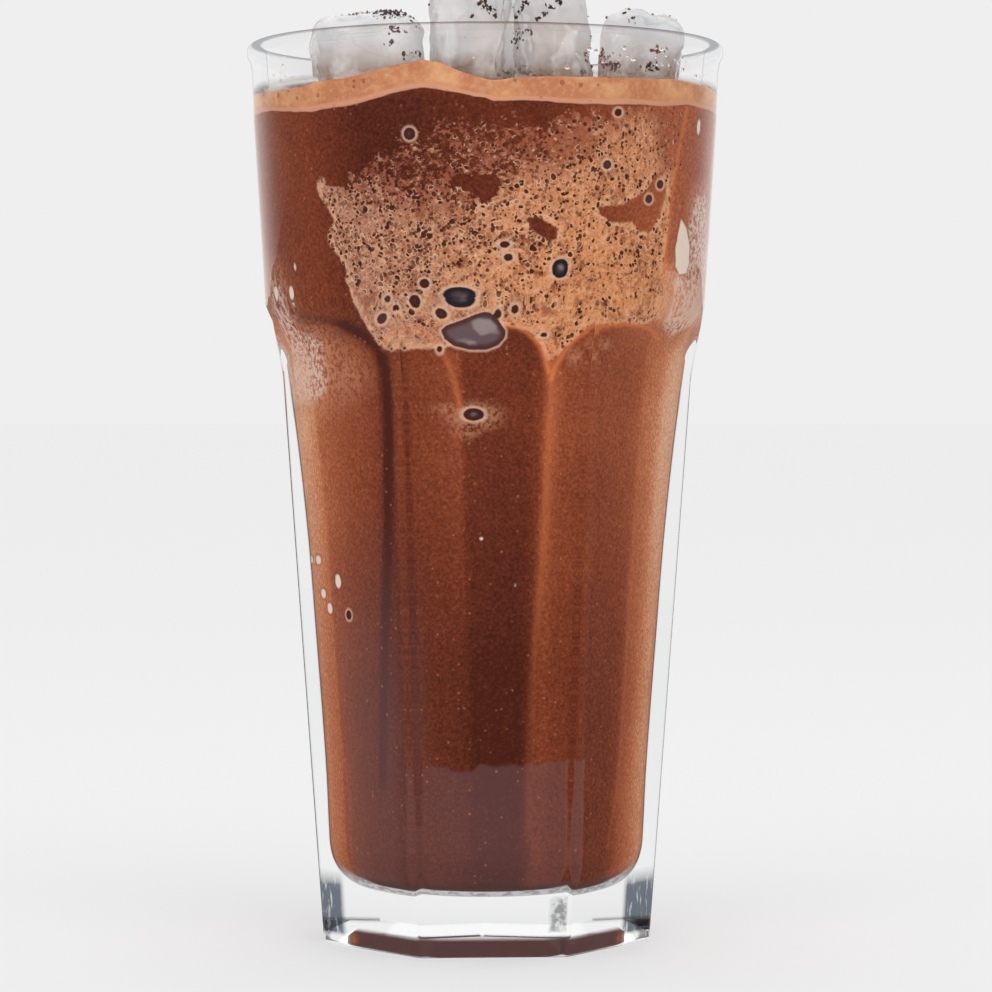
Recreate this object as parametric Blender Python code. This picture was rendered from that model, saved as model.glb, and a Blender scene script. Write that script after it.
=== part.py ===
"""Iced chocolate in a tall faceted glass: the source of the solids.

Metres, +Z up, the origin at the centre of the glass's foot, the front panel facing -Y.
Every node is one closed solid with a material of its own name.
"""
import math
import random

import bmesh
import bpy
from mathutils import Euler, Matrix, Vector, noise
from mathutils.bvhtree import BVHTree

for old in list(bpy.data.objects):
    bpy.data.objects.remove(old, do_unlink=True)

MM = 0.001

# The glass: seven flat panels below, a smooth round band above
PANELS = 7
NODES_PER_PANEL = 12
RING = PANELS * NODES_PER_PANEL
TURN_DEG = 3.2
FOOT_CORNER_RADIUS = 30.75
CORNER_TAPER = 0.0745
CORNER_FILLET = 1.6
FOOT_CHAMFER = 0.9
ARCH_SPRING_Z = 116.2
ARCH_RISE = 0.8
SHOULDER_AT_CORNER = 13.7
SHOULDER_AT_MIDDLE = 7.5

# Radius of the round band at each height, and the beaded rim
BAND = ((120.9, 40.85), (124.9, 41.1), (138.7, 42.0), (150.6, 42.75), (159.5, 43.0))
RIM = ((161.7, 43.4), (162.5, 43.85), (163.4, 44.0), (164.4, 43.72), (165.0, 42.7),
       (164.8, 41.5), (163.9, 40.85))
# Inside radius at each height, from the mouth down to the rounded bottom
INSIDE = ((162.1, 40.45), (148.6, 39.2), (132.8, 36.9), (117.0, 33.4), (99.1, 29.6),
          (77.3, 26.8), (55.5, 25.1), (33.7, 23.6), (22.0, 23.2), (17.0, 22.9),
          (14.0, 21.8), (12.0, 19.6), (10.6, 16.0), (10.0, 11.0))

# The drink, the froth and the clear gap that keeps neighbours apart
GAP = 0.3
FROTH_LEVEL = 156.0
BACK_THICKNESS = 4.0
FROTH_RING = 48
FROTH_STEPS = (0.0, 0.18, 0.36, 0.54, 0.72, 0.88, 1.0)
# Height of the froth against the front wall, by distance to the right of the centre
FRONT_LEVEL = ((-39.6, 155.0), (-34.5, 154.6), (-29.3, 155.6), (-24.6, 155.9),
               (-19.2, 157.2), (-15.1, 158.1), (-10.5, 158.5), (-7.5, 157.9),
               (-5.1, 156.7), (-1.9, 155.7), (1.4, 155.1), (4.7, 155.4), (11.0, 155.8),
               (17.0, 156.0), (25.9, 156.3), (31.2, 156.7), (37.1, 157.2))
# Thickness of the froth against the front wall, by distance to the right of the centre
FRONT_THICKNESS = ((-39.6, 3.0), (-34.5, 3.8), (-29.3, 5.3), (-19.0, 5.1), (-7.5, 4.9),
                   (-5.1, 4.1), (0.0, 3.5), (4.7, 4.0), (11.0, 4.6), (17.0, 4.9),
                   (31.2, 5.0), (39.0, 4.4))

# The ice cubes: name, centre, half sizes, turn in degrees, seed
ICE = (
    ("ice_cube_left", (-21.8, 13.4, 163.0), (10.0, 10.2, 9.5), (4, -7, 12), 11),
    ("ice_cube_middle", (-3.3, 5.2, 166.6), (7.0, 8.8, 11.6), (-5, 3, -4), 12),
    ("ice_cube_tall", (12.3, 7.6, 167.6), (6.3, 8.2, 11.8), (6, -3, 7), 13),
    ("ice_cube_right", (28.4, 1.6, 161.2), (7.4, 10.4, 9.6), (-3, 9, -6), 14),
    ("ice_cube_back", (4.6, 25.6, 166.4), (9.0, 8.0, 11.8), (8, 5, 14), 15),
)
ICE_DIVISIONS = (-1.0, -0.74, -0.3, 0.3, 0.74, 1.0)
ICE_ROUNDING = 0.46
ICE_UNEVEN = 0.75

# The flecks of chocolate: half sizes of one, and where they lie
FLECK_HALF = (0.75, 0.42, 0.28)
FLECKS = {
    "ice_cube_left": ((-13.9, 9.6), (-16.4, 8.2), (-14.2, 12.6), (-18.8, 10.4),
                      (-16.6, 12.4), (-15.4, 15.6), (-21.4, 7.8), (-18.6, 15.2)),
    "ice_cube_middle": ((1.9, 2.4), (2.2, 5.6), (-0.8, 1.2), (1.6, 8.6), (-4.6, 2.6),
                        (-0.4, 5.8)),
    "ice_cube_tall": ((9.2, 4.4), (11.4, 3.0), (14.2, 3.6), (16.2, 6.0), (12.8, 7.8),
                      (9.3, 9.4), (15.8, 10.2)),
    "ice_cube_right": ((25.2, -2.6), (28.0, -4.4), (30.6, 2.6), (26.8, 5.0),
                       (31.4, -2.0), (25.6, 1.2)),
    "ice_cube_back": ((2.2, 22.8), (6.2, 21.6), (8.4, 25.6), (3.4, 28.0)),
    "froth": ((17.6, -9.4), (19.4, -12.0), (21.6, -13.4), (15.4, -11.8), (-12.6, -6.4),
              (-9.6, -8.4), (7.0, -6.6), (4.4, -7.4), (9.8, -7.8), (24.6, -14.2)),
}
FLECK_SUNK = 0.45


def lerp_table(table, value):
    """Reads a table of pairs at a value, straight between its rows."""
    rows = sorted(table)
    if value <= rows[0][0]:
        return rows[0][1]
    for low, high in zip(rows, rows[1:]):
        if value <= high[0]:
            share = (value - low[0]) / (high[0] - low[0])
            return low[1] + share * (high[1] - low[1])
    return rows[-1][1]


def material(name, colour, rough, see_through=0.0):
    """A plain Principled material named after its node."""
    mat = bpy.data.materials.new(name)
    mat.use_nodes = True
    shader = mat.node_tree.nodes["Principled BSDF"]
    shader.inputs["Base Color"].default_value = (*colour, 1.0)
    shader.inputs["Roughness"].default_value = rough
    shader.inputs["Transmission Weight"].default_value = see_through
    return mat


def add_object(name, verts, faces, mat):
    """Makes one object from points in millimetres."""
    mesh = bpy.data.meshes.new(name)
    mesh.from_pydata([[c * MM for c in v] for v in verts], [], faces)
    work = bmesh.new()
    work.from_mesh(mesh)
    bmesh.ops.recalc_face_normals(work, faces=work.faces)
    work.to_mesh(mesh)
    work.free()
    mesh.materials.append(mat)
    obj = bpy.data.objects.new(name, mesh)
    bpy.context.scene.collection.objects.link(obj)
    return obj


def stack_rings(rings):
    """Joins rings of equal length into one closed skin, its two ends as flat faces."""
    count = len(rings[0])
    verts = [point for ring in rings for point in ring]
    faces = []
    for level in range(len(rings) - 1):
        low = level * count
        high = low + count
        for i in range(count):
            j = (i + 1) % count
            faces.append((low + i, low + j, high + j, high + i))
    faces.append(tuple(range(count - 1, -1, -1)))
    last = (len(rings) - 1) * count
    faces.append(tuple(range(last, last + count)))
    return verts, faces


# The glass

HALF_PANEL = math.pi / PANELS
FRONT = -math.pi / 2 + math.radians(TURN_DEG)
PANEL_DEG = (-25.714, -24.6, -22.2, -18.0, -12.0, -6.0, 0.0, 6.0, 12.0, 18.0, 22.2, 24.6)


def even_angle(index):
    """Angle of one of the evenly spaced points of a ring."""
    return 2 * math.pi * index / RING


def panel_angle(index):
    """Angle of a point that follows the panels, close to the even one of its index."""
    shift = round((FRONT - HALF_PANEL) / (2 * math.pi / RING))
    panel, step = divmod(index - shift, NODES_PER_PANEL)
    return FRONT + panel * 2 * HALF_PANEL + math.radians(PANEL_DEG[step])


def off_middle(angle):
    """Angle from the middle of the nearest panel, within half a panel."""
    turn = (angle - FRONT + HALF_PANEL) % (2 * HALF_PANEL)
    return turn - HALF_PANEL


def panel_radius(angle, z, cut=0.0):
    """Distance to the faceted wall, its corners rounded, cut back by a chamfer."""
    flat = (FOOT_CORNER_RADIUS + CORNER_TAPER * z) * math.cos(HALF_PANEL) - cut
    off = abs(off_middle(angle))
    edge = math.atan((flat - CORNER_FILLET) * math.tan(HALF_PANEL) / flat)
    if off <= edge:
        return flat / math.cos(off)
    centre = (flat - CORNER_FILLET) / math.cos(HALF_PANEL)
    gamma = HALF_PANEL - off
    return centre * math.cos(gamma) + math.sqrt(
        CORNER_FILLET ** 2 - (centre * math.sin(gamma)) ** 2)


def band_radius(z):
    """Radius of the round band, carried on down behind the arches."""
    if z < BAND[0][0]:
        return BAND[0][1] - (BAND[0][0] - z) * 0.061
    return lerp_table(BAND, z)


def arch_height(angle):
    """Height at which a panel's arched head meets the band."""
    across = abs(off_middle(angle)) / HALF_PANEL
    return ARCH_SPRING_Z + ARCH_RISE * (1 - min(across, 1.0) ** 2.2) ** (1 / 2.2)


def shoulder_point(angle, share):
    """Point on the shoulder between a panel (share 0) and the band (share 1)."""
    across = min(abs(off_middle(angle)) / HALF_PANEL, 1.0)
    head = (1 - across ** 2.2) ** (1 / 2.2)
    depth = SHOULDER_AT_CORNER + (SHOULDER_AT_MIDDLE - SHOULDER_AT_CORNER) * head
    z = arch_height(angle) - (1 - share) * depth
    blend = 0.45 * share + 0.55 * share * share * (3 - 2 * share)
    low = panel_radius(angle, z)
    radius = low + (band_radius(z) - low) * blend
    return (radius * math.cos(angle), radius * math.sin(angle), z)


def panel_ring(z, cut=0.0):
    """One ring of the faceted wall."""
    ring = []
    for i in range(RING):
        angle = panel_angle(i)
        radius = panel_radius(angle, z, cut)
        ring.append((radius * math.cos(angle), radius * math.sin(angle), z))
    return ring


def round_ring(z, radius, follow=0.0):
    """One round ring, its points even or drawn toward those of the panels."""
    ring = []
    for i in range(RING):
        angle = even_angle(i) * (1 - follow) + panel_angle(i) * follow
        ring.append((radius * math.cos(angle), radius * math.sin(angle), z))
    return ring


def build_glass():
    """The glass as one skin: foot, panels, shoulder, band, rim and inside."""
    rings = [panel_ring(0.0, FOOT_CHAMFER), panel_ring(0.32, FOOT_CHAMFER * 0.38),
             panel_ring(1.05)]
    rings += [panel_ring(z) for z in (50.0, 98.0)]
    for share in (0.0, 0.16, 0.34, 0.5, 0.66, 0.84, 1.0):
        rings.append([shoulder_point(panel_angle(i), share) for i in range(RING)])
    rings += [round_ring(z, r, 0.0) for z, r in BAND[1:]]
    rings += [round_ring(z, r) for z, r in RIM]
    rings += [round_ring(z, r) for z, r in INSIDE]
    verts, faces = stack_rings(rings)
    return add_object("glass", verts, faces, material("glass", (0.93, 0.96, 0.96), 0.02, 1.0))


# The drink and its froth


def behind(y):
    """0 at the front wall and 1 behind the middle, eased between."""
    back = min(max((y + 30.0) / 34.0, 0.0), 1.0)
    return back * back * (3 - 2 * back)


def froth_top(x, y):
    """Height of the froth's uneven top at a place inside the glass."""
    front = lerp_table(FRONT_LEVEL, x)
    level = front + (FROTH_LEVEL - front) * behind(y)
    return level + 0.35 * noise.noise(Vector((x * 0.12, y * 0.12, 3.0)))


def froth_depth(x, y):
    """Thickness of the froth at a place inside the glass."""
    front = lerp_table(FRONT_THICKNESS, x)
    return front + (BACK_THICKNESS - front) * behind(y)


def froth_surface(x, y, share, drop):
    """Height of a surface a share of the froth's thickness and a drop below its top."""
    return froth_top(x, y) - share * froth_depth(x, y) - drop


def inside_radius(z):
    """Inside radius of the glass at a height."""
    return lerp_table(INSIDE, z)


def wall_place(angle, share, drop):
    """Where a surface below the froth's top meets the wall, with the gap kept."""
    radius = inside_radius(FROTH_LEVEL) - GAP
    for _ in range(6):
        x = radius * math.cos(angle)
        y = radius * math.sin(angle)
        radius = inside_radius(froth_surface(x, y, share, drop)) - GAP
    return radius


def wavy_rings(share, drop, inward):
    """Rings that follow the froth's top below it, ordered in or out."""
    rings = []
    for step in FROTH_STEPS:
        ring = []
        for i in range(FROTH_RING):
            angle = 2 * math.pi * i / FROTH_RING
            radius = wall_place(angle, share, drop) * max(1.0 - step, 0.04)
            x = radius * math.cos(angle)
            y = radius * math.sin(angle)
            ring.append((x, y, froth_surface(x, y, share, drop)))
        rings.append(ring)
    return rings if inward else rings[::-1]


def build_drink():
    """The drink up to the underside of the froth."""
    rings = []
    levels = [row for row in INSIDE[::-1] if row[0] < 148.0]
    for z, r in levels:
        lift = GAP if z < 20.0 else 0.0
        ring = []
        for i in range(FROTH_RING):
            angle = 2 * math.pi * i / FROTH_RING
            ring.append(((r - GAP) * math.cos(angle), (r - GAP) * math.sin(angle), z + lift))
        rings.append(ring)
    rings += wavy_rings(1.0, GAP, True)
    verts, faces = stack_rings(rings)
    return add_object("chocolate_drink", verts, faces,
                      material("chocolate_drink", (0.16, 0.05, 0.025), 0.35))


def build_froth():
    """The froth, a layer that stands against the wall all round."""
    rings = wavy_rings(1.0, 0.0, False) + wavy_rings(0.0, 0.0, True)
    verts, faces = stack_rings(rings)
    return add_object("froth", verts, faces, material("froth", (0.62, 0.33, 0.2), 0.6))


# The ice


def cube_points():
    """Points and faces of a cube's skin, divided evenly on all six sides."""
    places = {}
    verts = []
    faces = []
    marks = ICE_DIVISIONS

    def put(point):
        key = tuple(round(c, 4) for c in point)
        if key not in places:
            places[key] = len(verts)
            verts.append(point)
        return places[key]

    for axis in range(3):
        for side in (-1.0, 1.0):
            for u0, u1 in zip(marks, marks[1:]):
                for v0, v1 in zip(marks, marks[1:]):
                    quad = []
                    for u, v in ((u0, v0), (u1, v0), (u1, v1), (u0, v1)):
                        point = [0.0, 0.0, 0.0]
                        point[axis] = side
                        point[(axis + 1) % 3] = u
                        point[(axis + 2) % 3] = v
                        quad.append(put(tuple(point)))
                    faces.append(tuple(quad if side > 0 else quad[::-1]))
    return verts, faces


def lump(centre, half, turn, seed, swell=0.0):
    """Points of a melted cube: rounded, a little uneven, swelled by a clearance."""
    verts, faces = cube_points()
    spin = Euler([math.radians(a) for a in turn]).to_matrix()
    out = []
    small = min(half)
    rounding = small * ICE_ROUNDING
    for point in verts:
        full = Vector([p * h for p, h in zip(point, half)])
        core = Vector([max(-(h - rounding), min(h - rounding, f)) for f, h in zip(full, half)])
        away = (full - core).normalized()
        place = core + away * rounding
        wave = noise.noise(place * 0.11 + Vector((seed * 7.3, seed * 1.7, 0.0)))
        place = place + away * (wave * ICE_UNEVEN + swell)
        out.append(tuple(spin @ place + Vector(centre)))
    return out, faces


def fleck(spot, facing, seed):
    """Points of one fleck, a small slab with cut corners lying on a surface."""
    rng = random.Random(seed)
    size = [h * rng.uniform(0.75, 1.35) for h in FLECK_HALF]
    up = facing.normalized()
    side = up.orthogonal().normalized()
    turn = Matrix.Rotation(rng.uniform(0, math.tau), 3, up)
    side = turn @ side
    other = up.cross(side)
    low = [(-1, -0.55), (-0.5, -1), (0.6, -0.9), (1, -0.3), (0.8, 0.75), (-0.3, 1), (-0.95, 0.4)]
    verts = []
    for height, scale in ((-1.0, 1.0), (1.0, 0.78)):
        for a, b in low:
            point = (spot + side * (a * size[0] * scale) + other * (b * size[1] * scale)
                     + up * (height * size[2] + FLECK_SUNK * size[2]))
            verts.append(tuple(point))
    count = len(low)
    faces = [tuple(range(count - 1, -1, -1)), tuple(range(count, 2 * count))]
    for i in range(count):
        j = (i + 1) % count
        faces.append((i, j, count + j, count + i))
    return verts, faces


def apply_boolean(target, operation, others, solver="MANIFOLD"):
    """Applies one boolean of a target with a set of objects, which it removes."""
    group = bpy.data.collections.new(f"set_{target.name}")
    bpy.context.scene.collection.children.link(group)
    for other in others:
        bpy.context.scene.collection.objects.unlink(other)
        group.objects.link(other)
    step = target.modifiers.new("join", "BOOLEAN")
    step.operation = operation
    step.operand_type = "COLLECTION"
    step.collection = group
    step.solver = solver
    bpy.context.view_layer.objects.active = target
    target.select_set(True)
    bpy.ops.object.modifier_apply(modifier=step.name)
    target.select_set(False)
    for other in list(group.objects):
        bpy.data.objects.remove(other, do_unlink=True)
    bpy.data.collections.remove(group)


def add_flecks(obj, spots, mat):
    """Fuses flecks to the top of an object, at places seen from above."""
    tree = BVHTree.FromObject(obj, bpy.context.evaluated_depsgraph_get())
    made = []
    for number, (x, y) in enumerate(spots):
        start = Vector((x * MM, y * MM, 0.3))
        hit, facing, _, _ = tree.ray_cast(start, Vector((0, 0, -1)))
        if hit is None:
            continue
        verts, faces = fleck(hit / MM, facing, number * 17 + len(obj.name))
        made.append(add_object(f"{obj.name}_fleck_{number}", verts, faces, mat))
    apply_boolean(obj, "UNION", made)
    return obj


def build_ice():
    """The five ice cubes, each with the flecks that lie on it."""
    made = []
    for name, centre, half, turn, seed in ICE:
        verts, faces = lump(centre, half, turn, seed)
        mat = material(name, (0.86, 0.89, 0.91), 0.12, 0.7)
        made.append(add_object(name, verts, faces, mat))
    return made


def cut_for_ice(obj):
    """Cuts the seats of the ice cubes out of the froth or the drink."""
    made = []
    for name, centre, half, turn, seed in ICE:
        verts, faces = lump(centre, half, turn, seed, GAP)
        made.append(add_object(f"seat_{name}", verts, faces, obj.data.materials[0]))
    apply_boolean(obj, "DIFFERENCE", made)


def main():
    """Builds every node in turn."""
    build_glass()
    drink = build_drink()
    froth = build_froth()
    cubes = build_ice()
    cut_for_ice(drink)
    cut_for_ice(froth)
    for obj in cubes + [froth]:
        add_flecks(obj, FLECKS[obj.name], obj.data.materials[0])


main()
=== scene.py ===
"""Looks of the iced chocolate in its tall faceted glass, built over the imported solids.

Every length in the dataclasses is in millimetres, in the frame of the solids.
"""
import logging
import math
from dataclasses import dataclass
from enum import Enum
from functools import cached_property
from typing import Callable, Optional, Sequence

import bmesh
import bpy
import numpy as np
from mathutils import Euler, Matrix, Vector, noise
from mathutils.bvhtree import BVHTree


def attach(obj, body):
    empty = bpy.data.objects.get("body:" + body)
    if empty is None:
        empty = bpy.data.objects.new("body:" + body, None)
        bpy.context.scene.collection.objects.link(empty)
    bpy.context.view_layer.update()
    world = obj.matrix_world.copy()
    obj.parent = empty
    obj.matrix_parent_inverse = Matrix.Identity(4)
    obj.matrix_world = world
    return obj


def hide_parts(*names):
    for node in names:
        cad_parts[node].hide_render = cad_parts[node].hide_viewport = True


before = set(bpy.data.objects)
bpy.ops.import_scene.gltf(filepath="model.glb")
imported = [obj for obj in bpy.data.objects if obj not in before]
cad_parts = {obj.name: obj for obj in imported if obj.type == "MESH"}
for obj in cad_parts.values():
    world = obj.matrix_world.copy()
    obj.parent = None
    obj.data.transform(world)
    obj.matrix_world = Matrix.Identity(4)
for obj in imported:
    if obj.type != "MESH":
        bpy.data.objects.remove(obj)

logging.basicConfig(level=logging.INFO, format="%(message)s")
log = logging.getLogger("iced_chocolate")

MM = 0.001
BODY = "root"
MM_PER_DEGREE = 0.576
FROTH_RADIUS = 39.6
BASE_FADE = (12.9, 11.2)

Point = tuple[float, float, float]
Ring = list[Point]
Colour = tuple[float, float, float]
Pair = tuple[float, float]
Path = tuple[Pair, ...]


class FleckKind(Enum):
    """The two browns of the grated chocolate."""

    DARK = 0.0
    REDDISH = 1.0


class MarkKind(Enum):
    """What a mark on the wall of the drink is."""

    DEEP_HOLE = 0
    WIDE_HOLE = 1
    BROWN_HOLE = 2
    HIGHLIT_DROP = 3


# Small helpers


def table_at(table: Sequence[Pair], value: float) -> float:
    """Reads a table of pairs at a value, straight between its rows.

    Args:
        table: pairs of place and value, in any order.
        value: the place to read at.

    Returns:
        The value there, held at the ends.
    """
    rows = sorted(table)
    places = [row[0] for row in rows]
    values = [row[1] for row in rows]
    return float(np.interp(value, places, values))


def smooth_path(points: Sequence[Pair], steps: int) -> list[Pair]:
    """Runs a smooth curve through points in a plane.

    Args:
        points: the points, in order.
        steps: the number of steps from each point to the next.

    Returns:
        The curve's points, the given ones among them.
    """
    path = [np.array(p, float) for p in points]
    path = [path[0], *path, path[-1]]
    out: list[Pair] = []
    for i in range(1, len(path) - 2):
        a, b, c, d = path[i - 1:i + 3]
        for k in range(steps):
            t = k / steps
            place = 0.5 * (2 * b + (c - a) * t + (2 * a - 5 * b + 4 * c - d) * t ** 2
                           + (3 * b - a - 3 * c + d) * t ** 3)
            out.append((float(place[0]), float(place[1])))
    out.append((float(points[-1][0]), float(points[-1][1])))
    return out


def rgb(red: float, green: float, blue: float) -> Colour:
    """Turns screen values from 0 to 255 into a shader's linear colour."""
    out = []
    for value in (red, green, blue):
        share = value / 255.0
        out.append(share / 12.92 if share <= 0.04045 else ((share + 0.055) / 1.055) ** 2.4)
    return (out[0], out[1], out[2])


def ease(values: np.ndarray, low: float, high: float) -> np.ndarray:
    """Smooth step from 0 at low to 1 at high, for a whole row of values."""
    share = np.clip((values - low) / (high - low), 0.0, 1.0)
    return share * share * (3 - 2 * share)


def on_flat_wall(path: Sequence[Pair]) -> np.ndarray:
    """Points of angle and height as millimetres on the unrolled wall."""
    out = np.array(path, float)
    out[:, 0] *= MM_PER_DEGREE
    return out


def distance_to(path: np.ndarray, points: np.ndarray) -> np.ndarray:
    """How far points of a plane are from an open line.

    Args:
        path: the line's points, one row each.
        points: the points to measure.

    Returns:
        The distance of each.
    """
    best = np.full(len(points), 1e9)
    for start, end in zip(path[:-1], path[1:]):
        run = end - start
        share = np.clip(((points - start) @ run) / max(float(run @ run), 1e-9), 0.0, 1.0)
        gap = points - start - share[:, None] * run
        best = np.minimum(best, np.hypot(gap[:, 0], gap[:, 1]))
    return best


def depth_inside(outline: np.ndarray, points: np.ndarray) -> np.ndarray:
    """How deep points of a plane lie inside an outline.

    Args:
        outline: the closed outline's points, one row each.
        points: the points to measure.

    Returns:
        The distance of each to the outline, below zero outside it.
    """
    closed = np.vstack((outline, outline[:1]))
    inside = np.zeros(len(points), bool)
    for (ax, ay), (bx, by) in zip(closed[:-1], closed[1:]):
        if ay == by:
            continue
        spans = (points[:, 1] > min(ay, by)) & (points[:, 1] <= max(ay, by))
        cross = ax + (points[:, 1] - ay) * (bx - ax) / (by - ay)
        inside ^= spans & (points[:, 0] < cross)
    return np.where(inside, 1.0, -1.0) * distance_to(closed, points)


def on_circle(radius: float, angle: float, z: float) -> Point:
    """The point at a radius and an angle about the axis, at a height."""
    return (radius * math.cos(angle), radius * math.sin(angle), z)


def round_ring(z: float, radius: float, angles: Sequence[float]) -> Ring:
    """One round ring of points at a height, in millimetres."""
    return [on_circle(radius, a, z) for a in angles]


def fold_to_front(degrees: np.ndarray) -> np.ndarray:
    """Mirrors the back half of the wall onto the front half."""
    return np.where(np.abs(degrees) > 90.0, np.sign(degrees) * 180.0 - degrees, degrees)


def skin_of_rings(name: str, rings: Sequence[Ring]) -> bpy.types.Object:
    """Makes one closed mesh from rings of equal length.

    Args:
        name: the new object's name.
        rings: the rings from one end of the skin to the other, in millimetres.

    Returns:
        The new object, smooth shaded, its faces pointing outwards.
    """
    count = len(rings[0])
    verts = [[c * MM for c in point] for ring in rings for point in ring]
    faces: list[tuple[int, ...]] = []
    for level in range(len(rings) - 1):
        low = level * count
        high = low + count
        for i in range(count):
            j = (i + 1) % count
            faces.append((low + i, low + j, high + j, high + i))
    last = (len(rings) - 1) * count
    faces.append(tuple(range(count - 1, -1, -1)))
    faces.append(tuple(range(last, last + count)))
    mesh = bpy.data.meshes.new(name)
    mesh.from_pydata(verts, [], faces)
    return finish_mesh(name, mesh)


def finish_mesh(name: str, mesh: bpy.types.Mesh) -> bpy.types.Object:
    """Turns a mesh's faces outwards, shades it smooth and links it in an object.

    Args:
        name: the new object's name.
        mesh: the mesh, in metres, in the frame of the solids.

    Returns:
        The new object, at the origin.
    """
    work = bmesh.new()
    work.from_mesh(mesh)
    bmesh.ops.recalc_face_normals(work, faces=work.faces)
    work.to_mesh(mesh)
    work.free()
    mesh.polygons.foreach_set("use_smooth", [True] * len(mesh.polygons))
    obj = bpy.data.objects.new(name, mesh)
    bpy.context.scene.collection.objects.link(obj)
    return obj


def place_piece(obj: bpy.types.Object, nodes: Sequence[str] = ()) -> None:
    """Lets a piece ride on the body and stand for solids.

    Args:
        obj: the finished piece.
        nodes: the solids that it stands for.
    """
    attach(obj, BODY)
    if nodes:
        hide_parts(*nodes)
    log.info("%s: %d faces, stands for %s", obj.name, len(obj.data.polygons),
             ", ".join(nodes) or "nothing")


def store_values(obj: bpy.types.Object, name: str, values: np.ndarray) -> None:
    """Stores one number for each point of a mesh, for its material to read."""
    attribute = obj.data.attributes.new(name, "FLOAT", "POINT")
    attribute.data.foreach_set("value", values.astype(np.float32))


def points_of(obj: bpy.types.Object) -> np.ndarray:
    """The points of a mesh in millimetres, one row each."""
    flat = np.empty(len(obj.data.vertices) * 3, np.float32)
    obj.data.vertices.foreach_get("co", flat)
    return flat.reshape(-1, 3).astype(float) / MM


# Shader building


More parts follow.
